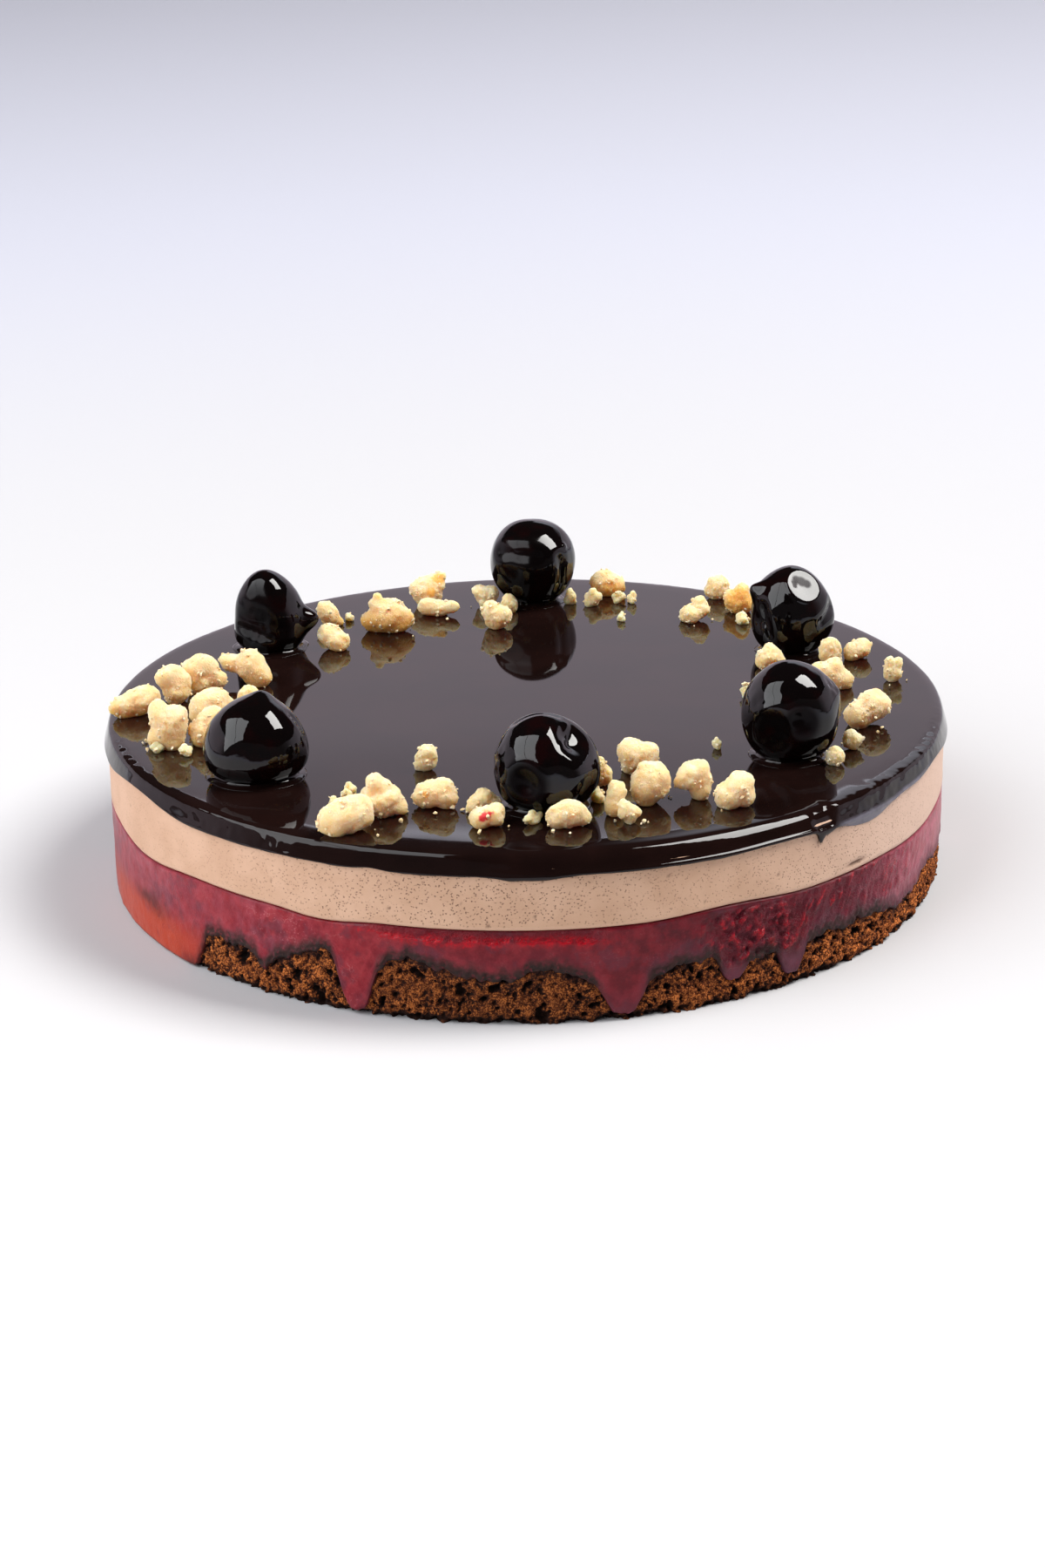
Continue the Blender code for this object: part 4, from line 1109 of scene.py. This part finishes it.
def build_cherries():
    directions, faces = sphere_directions(CHERRY_LEVEL)
    collars = []
    for number, row in enumerate(CHERRIES, start=1):
        angle, distance, _, height = row[:4]
        spot = on_circle(angle, distance, GLAZE_TOP)
        points = directions * cherry_reach(directions, row, number)[:, None]
        points = fitted(flattened(points, CHERRY_FLAT), 2, height) + spot
        # The last mask paints shade: dull places reflect darker.
        shape = (points, faces.tolist(), {"dull_shade": cherry_dull_shade(directions, number)})
        node = f"cherry_{number:02d}"
        settle(add_piece(f"glazed_{node}", shape, "cherry"), "cherry", node)
        collars.append(build_collar(points, spot, number))
    settle(add_piece("syrup_collars", joined(collars), "glaze"), "glaze")


# ---------------- crumble

GRAIN_SPHERE = sphere_directions(1)


def ball(x, z, radius, y=0.0):
    """Centre and radius of a lobe, whose y is left out where it is 0."""
    return np.array([x, y, z]), radius


def lobe_reach(directions, lobes):
    """Distance from the middle to the outside of lobes that melt into one another."""

    def inside(reach):
        points = directions * reach[:, None]
        total = 0.0
        for centre, radius in (ball(*lobe) for lobe in lobes):
            away = ((points - centre) ** 2).sum(1) / radius ** 2
            total = total + np.exp(CRUMBLE_BLEND * (1.0 - away))
        return total >= 1.0

    low = np.full(len(directions), CRUMBLE_LEAST)
    for trial in np.arange(CRUMBLE_LEAST, CRUMBLE_MOST, CRUMBLE_STEP):
        low = np.where(inside(np.full(len(directions), trial)), trial, low)
    high = low + CRUMBLE_STEP
    for _ in range(CRUMBLE_HALVINGS):
        middle = 0.5 * (low + high)
        reached = inside(middle)
        low = np.where(reached, middle, low)
        high = np.where(reached, high, middle)
    return low


def crumble_points(directions, lobes, sizes, number, relief=1.0):
    """A crumble of these sizes that stands at the origin, before it is turned."""
    uneven = sampled(noise.noise, directions * CRUMBLE_WAVES + [0.0, 5.0 * number, 0.0])
    reach = lobe_reach(directions, lobes) * (1.0 + CRUMBLE_ROUGHNESS * uneven)
    points = flattened(directions * reach[:, None], CRUMBLE_FLAT)
    for axis, size in enumerate(sizes):
        points = fitted(points, axis, size)
    grainy = 0.35 + 0.65 * smooth(waves(points, 3.0, number + 3), -0.4, 0.3)
    coarse = smooth(cells(points, 1.9, number + 40), 0.80, 0.10) - 0.45
    knobs = smooth(cells(points, 0.95, number), 0.75, 0.10) - 0.45
    push = 0.30 * waves(points, 3.2, number) + 0.16 * coarse
    push = push + grainy * (0.16 * knobs + 0.15 * waves(points, 0.6, number + 9)) - 0.05
    lift = smooth(points[:, 2], 0.0, 0.8)
    return points + directions * (relief * push * (0.3 + 0.7 * lift))[:, None]


def turned(points, degrees, spot=(0.0, 0.0, 0.0)):
    """Points turned about Z and then moved."""
    turn = math.radians(degrees)
    x = points[:, 0] * math.cos(turn) - points[:, 1] * math.sin(turn)
    y = points[:, 0] * math.sin(turn) + points[:, 1] * math.cos(turn)
    return np.stack([x, y, points[:, 2]], 1) + spot


def cad_sizes(node, degrees):
    """Length, width and height of a crumble's solid along its own axes, and its foot."""
    points = np.array([vert.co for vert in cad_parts[node].data.vertices]) / MM
    level = turned(points, -degrees)
    low = level.min(0)
    high = level.max(0)
    foot = np.array([[0.5 * (low[0] + high[0]), 0.5 * (low[1] + high[1]), GLAZE_TOP]])
    return high - low, turned(foot, degrees)[0]


def crumble_masks(points, toast, number):
    """How amber each point of a crumble is, more towards the bottom and in toasted patches, and its
    spots.
    """
    below = smooth((points[:, 2] - GLAZE_TOP) / np.ptp(points[:, 2]), 0.75, 0.0)
    patches = rough(points, 3.0, number + 60, 2)
    toasted = held(toast * (0.20 + 1.1 * below + 0.25 * patches) + 0.1 * below)
    masks = {"toast": toasted, "tint": np.zeros(len(points))}
    middle = 0.5 * (points.min(0) + points.max(0))
    for place, half_width, mask in rows_of(CRUMBLE_SPOTS, number):
        away = np.linalg.norm(points - middle - place, axis=1) / half_width
        edge = 1.0 + 0.35 * waves(points, 0.6, number)
        masks[mask] = np.maximum(masks[mask], smooth(away, 1.25 * edge, 0.75 * edge))
    return masks


def surface_samples(points, faces, density, draw):
    """Places on a closed mesh, evenly spread, with the outward direction at each."""
    start, second, third = points[faces].transpose(1, 0, 2)
    cross = np.cross(second - start, third - start)
    area = 0.5 * np.linalg.norm(cross, axis=1)
    count = int(area.sum() * density)
    chosen = draw.choice(len(faces), count, p=area / area.sum())
    share = draw.random((count, 2))
    share = np.where(share.sum(1, keepdims=True) > 1.0, 1.0 - share, share)
    spots = start[chosen] + share[:, :1] * (second - start)[chosen]
    spots = spots + share[:, 1:] * (third - start)[chosen]
    return spots, cross[chosen] / np.linalg.norm(cross[chosen], axis=1, keepdims=True)


def grain(draw, spot, size):
    """One sandy grain: a small angular lump in a random turn."""
    directions, faces = GRAIN_SPHERE
    uneven = draw.uniform(*GRAIN_UNEVEN, len(directions))
    shape = directions * uneven[:, None] * (0.5 * size * draw.uniform(*GRAIN_STRETCH, 3))
    axes, _ = np.linalg.qr(draw.normal(size=(3, 3)))
    return shape @ axes + spot, faces, {}


def stuck_grains(points, faces, draw, density):
    """Grains on a crumble, in sandy patches and more of them low down."""
    parts = []
    spots, outward = surface_samples(points, faces, density, draw)
    height = (spots[:, 2] - GLAZE_TOP) / np.ptp(points[:, 2])
    sandy = smooth(waves(spots, 3.0, 80), -0.15, 0.35) * (1.0 - 0.5 * smooth(height, 0.4, 0.8))
    keep = draw.random(len(spots)) < 0.12 + 0.88 * sandy
    for spot, direction in zip(spots[keep], outward[keep]):
        size = GRAIN_SIZE[0] + (GRAIN_SIZE[1] - GRAIN_SIZE[0]) * draw.random() ** 1.6
        place = spot + direction * size * draw.uniform(-0.25, 0.15)
        place[2] = max(place[2], GLAZE_TOP + GRAIN_SUNK * size)
        parts.append(grain(draw, place, size))
    return parts


def loose_grains(foot, count, reach, draw):
    """Grains that lie on the glaze round a crumble."""
    parts = []
    for _ in range(count):
        angle = draw.uniform(0.0, 2.0 * math.pi)
        away = reach * draw.uniform(0.6, 0.95)
        size = draw.uniform(GRAIN_SIZE[0], GRAIN_SIZE[1] * 1.1)
        spot = foot + [away * math.cos(angle), away * math.sin(angle), GRAIN_SUNK * size]
        if math.hypot(spot[0], spot[1]) < CAKE_RADIUS - 4.0:
            parts.append(grain(draw, spot, size))
    return parts


def build_crumble():
    draw = np.random.default_rng(GRAIN_SEED)
    directions, faces = sphere_directions(CRUMBLE_LEVEL)
    grains = []
    for number, (degrees, toast, lobes) in enumerate(CRUMBLES, start=1):
        node = f"crumble_{number:02d}"
        sizes, foot = cad_sizes(node, degrees)
        points = turned(crumble_points(directions, lobes, sizes, number), degrees, foot)
        shape = (points, faces.tolist(), crumble_masks(points, toast, number))
        settle(add_piece(f"baked_{node}", shape, "crumble"), "crumble", node)
        grains += stuck_grains(points, faces, draw, GRAIN_DENSITY)
        for count, reach in rows_of(LOOSE_GRAINS, number):
            grains += loose_grains(foot, count, reach, draw)
    grains += build_small_crumbs(draw)
    settle(add_piece("sandy_grains", joined(grains), "grain", smooth_faces=False), "crumble")


def build_small_crumbs(draw):
    """One piece of all the small crumbs; returns the grains that stick to them."""
    directions, faces = sphere_directions(SMALL_CRUMB_LEVEL)
    crumbs = []
    grains = []
    for index, (x, y, *sizes) in enumerate(SMALL_CRUMBS):
        points = crumble_points(directions, SMALL_CRUMB_LOBES, sizes,
                                SMALL_CRUMB_FIRST_SEED + index, SMALL_CRUMB_RELIEF)
        points = turned(points, SMALL_CRUMB_TURN * index, (x, y, GLAZE_TOP))
        toast = np.full(len(points), SMALL_CRUMB_TOAST)
        crumbs.append((points, faces, {"toast": toast, "tint": 0.0 * toast}))
        grains += stuck_grains(points, faces, draw, 1.3 * GRAIN_DENSITY)
    settle(add_piece("small_crumbs", joined(crumbs), "crumble"), "crumble")
    return grains


# ---------------- stage, light and camera

def build_stage():
    directions = around(FLOOR_COLUMNS)
    points = on_circle(directions[:, None], np.array(FLOOR_RINGS), FLOOR_HEIGHT).reshape(-1, 3)
    faces = grid_faces(len(directions), len(FLOOR_RINGS))
    faces.append(list(range(0, len(points), len(FLOOR_RINGS)))[::-1])
    floor = add_piece("floor", (points, faces, {}), "floor")


def build_world():
    """A bright band near the horizon under a dark ceiling, faded along the sky's directions."""
    world = bpy.data.worlds.new("studio")
    world.use_nodes = True
    bpy.context.scene.world = world
    nodes = Nodes(world.node_tree, "Generated")
    direction = nodes.add("ShaderNodeSeparateXYZ", {0: nodes.place}).outputs

    def faded(axis, limits, first, second):
        return nodes.mix(nodes.between(direction[axis], *limits), first, second)

    dimmed = tuple(BAND_DIMMED * value for value in WORLD_BAND)
    back = faded("Z", BAND_DIM, WORLD_BAND, dimmed)
    edged = faded("Z", BAND_EDGE, back, WORLD_EDGE)
    band = faded("Y", BAND_TURN, WORLD_FRONT, edged)
    patch = faded("Z", PATCH_TOP, WORLD_PATCH, WORLD_DARK)
    patch = faded("X", PATCH_SIDE, WORLD_DARK, patch)
    ceiling = faded("Y", PATCH_BACK, WORLD_DARK, patch)
    sky = faded("Z", BAND_TOP, band, ceiling)
    nodes.put(sky, world.node_tree.nodes["Background"].inputs["Color"])


def add_softbox(name, towards, distance, size, turn, power, colour, sideways=0.0):
    """A rectangular soft light facing the cake; sideways shifts it along its own width."""
    light = bpy.data.lights.new(name, "AREA")
    light.shape = "RECTANGLE"
    light.size = size[0] * MM
    light.size_y = size[1] * MM
    light.energy = power
    light.color = colour
    lamp = bpy.data.objects.new(name, light)
    direction = Vector(towards).normalized()
    twist = Quaternion((0.0, 0.0, 1.0), math.radians(turn))
    lamp.rotation_mode = "QUATERNION"
    lamp.rotation_quaternion = direction.to_track_quat("Z", "Y") @ twist
    side = lamp.rotation_quaternion @ Vector((1.0, 0.0, 0.0))
    lamp.location = (Vector((0.0, 0.0, GLAZE_TOP)) + direction * distance + side * sideways) * MM
    bpy.context.scene.collection.objects.link(lamp)


def build_lights():
    """The key light, and a fill light with a dark slit down its middle."""
    add_softbox("key", **KEY)
    half = 0.5 * (FILL["size"][0] + FILL_SLIT)
    add_softbox("fill_left", **FILL, sideways=half)
    add_softbox("fill_right", **FILL, sideways=-half)


def build_camera():
    data = bpy.data.cameras.new("camera")
    data.lens = CAMERA_LENS
    data.sensor_width = SENSOR
    data.clip_start, data.clip_end = CAMERA_CLIP
    tilt = Matrix.Rotation(math.radians(90.0 - CAMERA_ELEVATION), 4, "X")
    roll = Matrix.Rotation(math.radians(-CAMERA_ROLL), 4, "Z")
    place = Vector(CAMERA_TARGET) + tilt @ Vector((0.0, 0.0, CAMERA_DISTANCE))
    camera = bpy.data.objects.new("camera", data)
    camera.matrix_world = Matrix.Translation(place * MM) @ tilt @ roll
    bpy.context.scene.collection.objects.link(camera)
    bpy.context.scene.camera = camera


for make in (make_sponge, make_filling, make_mousse, make_glaze, make_cherry, make_crumble,
             make_grain, make_floor):
    make()
for build in (build_camera, build_sponge, build_filling, build_mousse, build_glaze,
              build_cherries, build_crumble, build_stage, build_world, build_lights):
    build()
bpy.context.scene.view_settings.view_transform = "Standard"
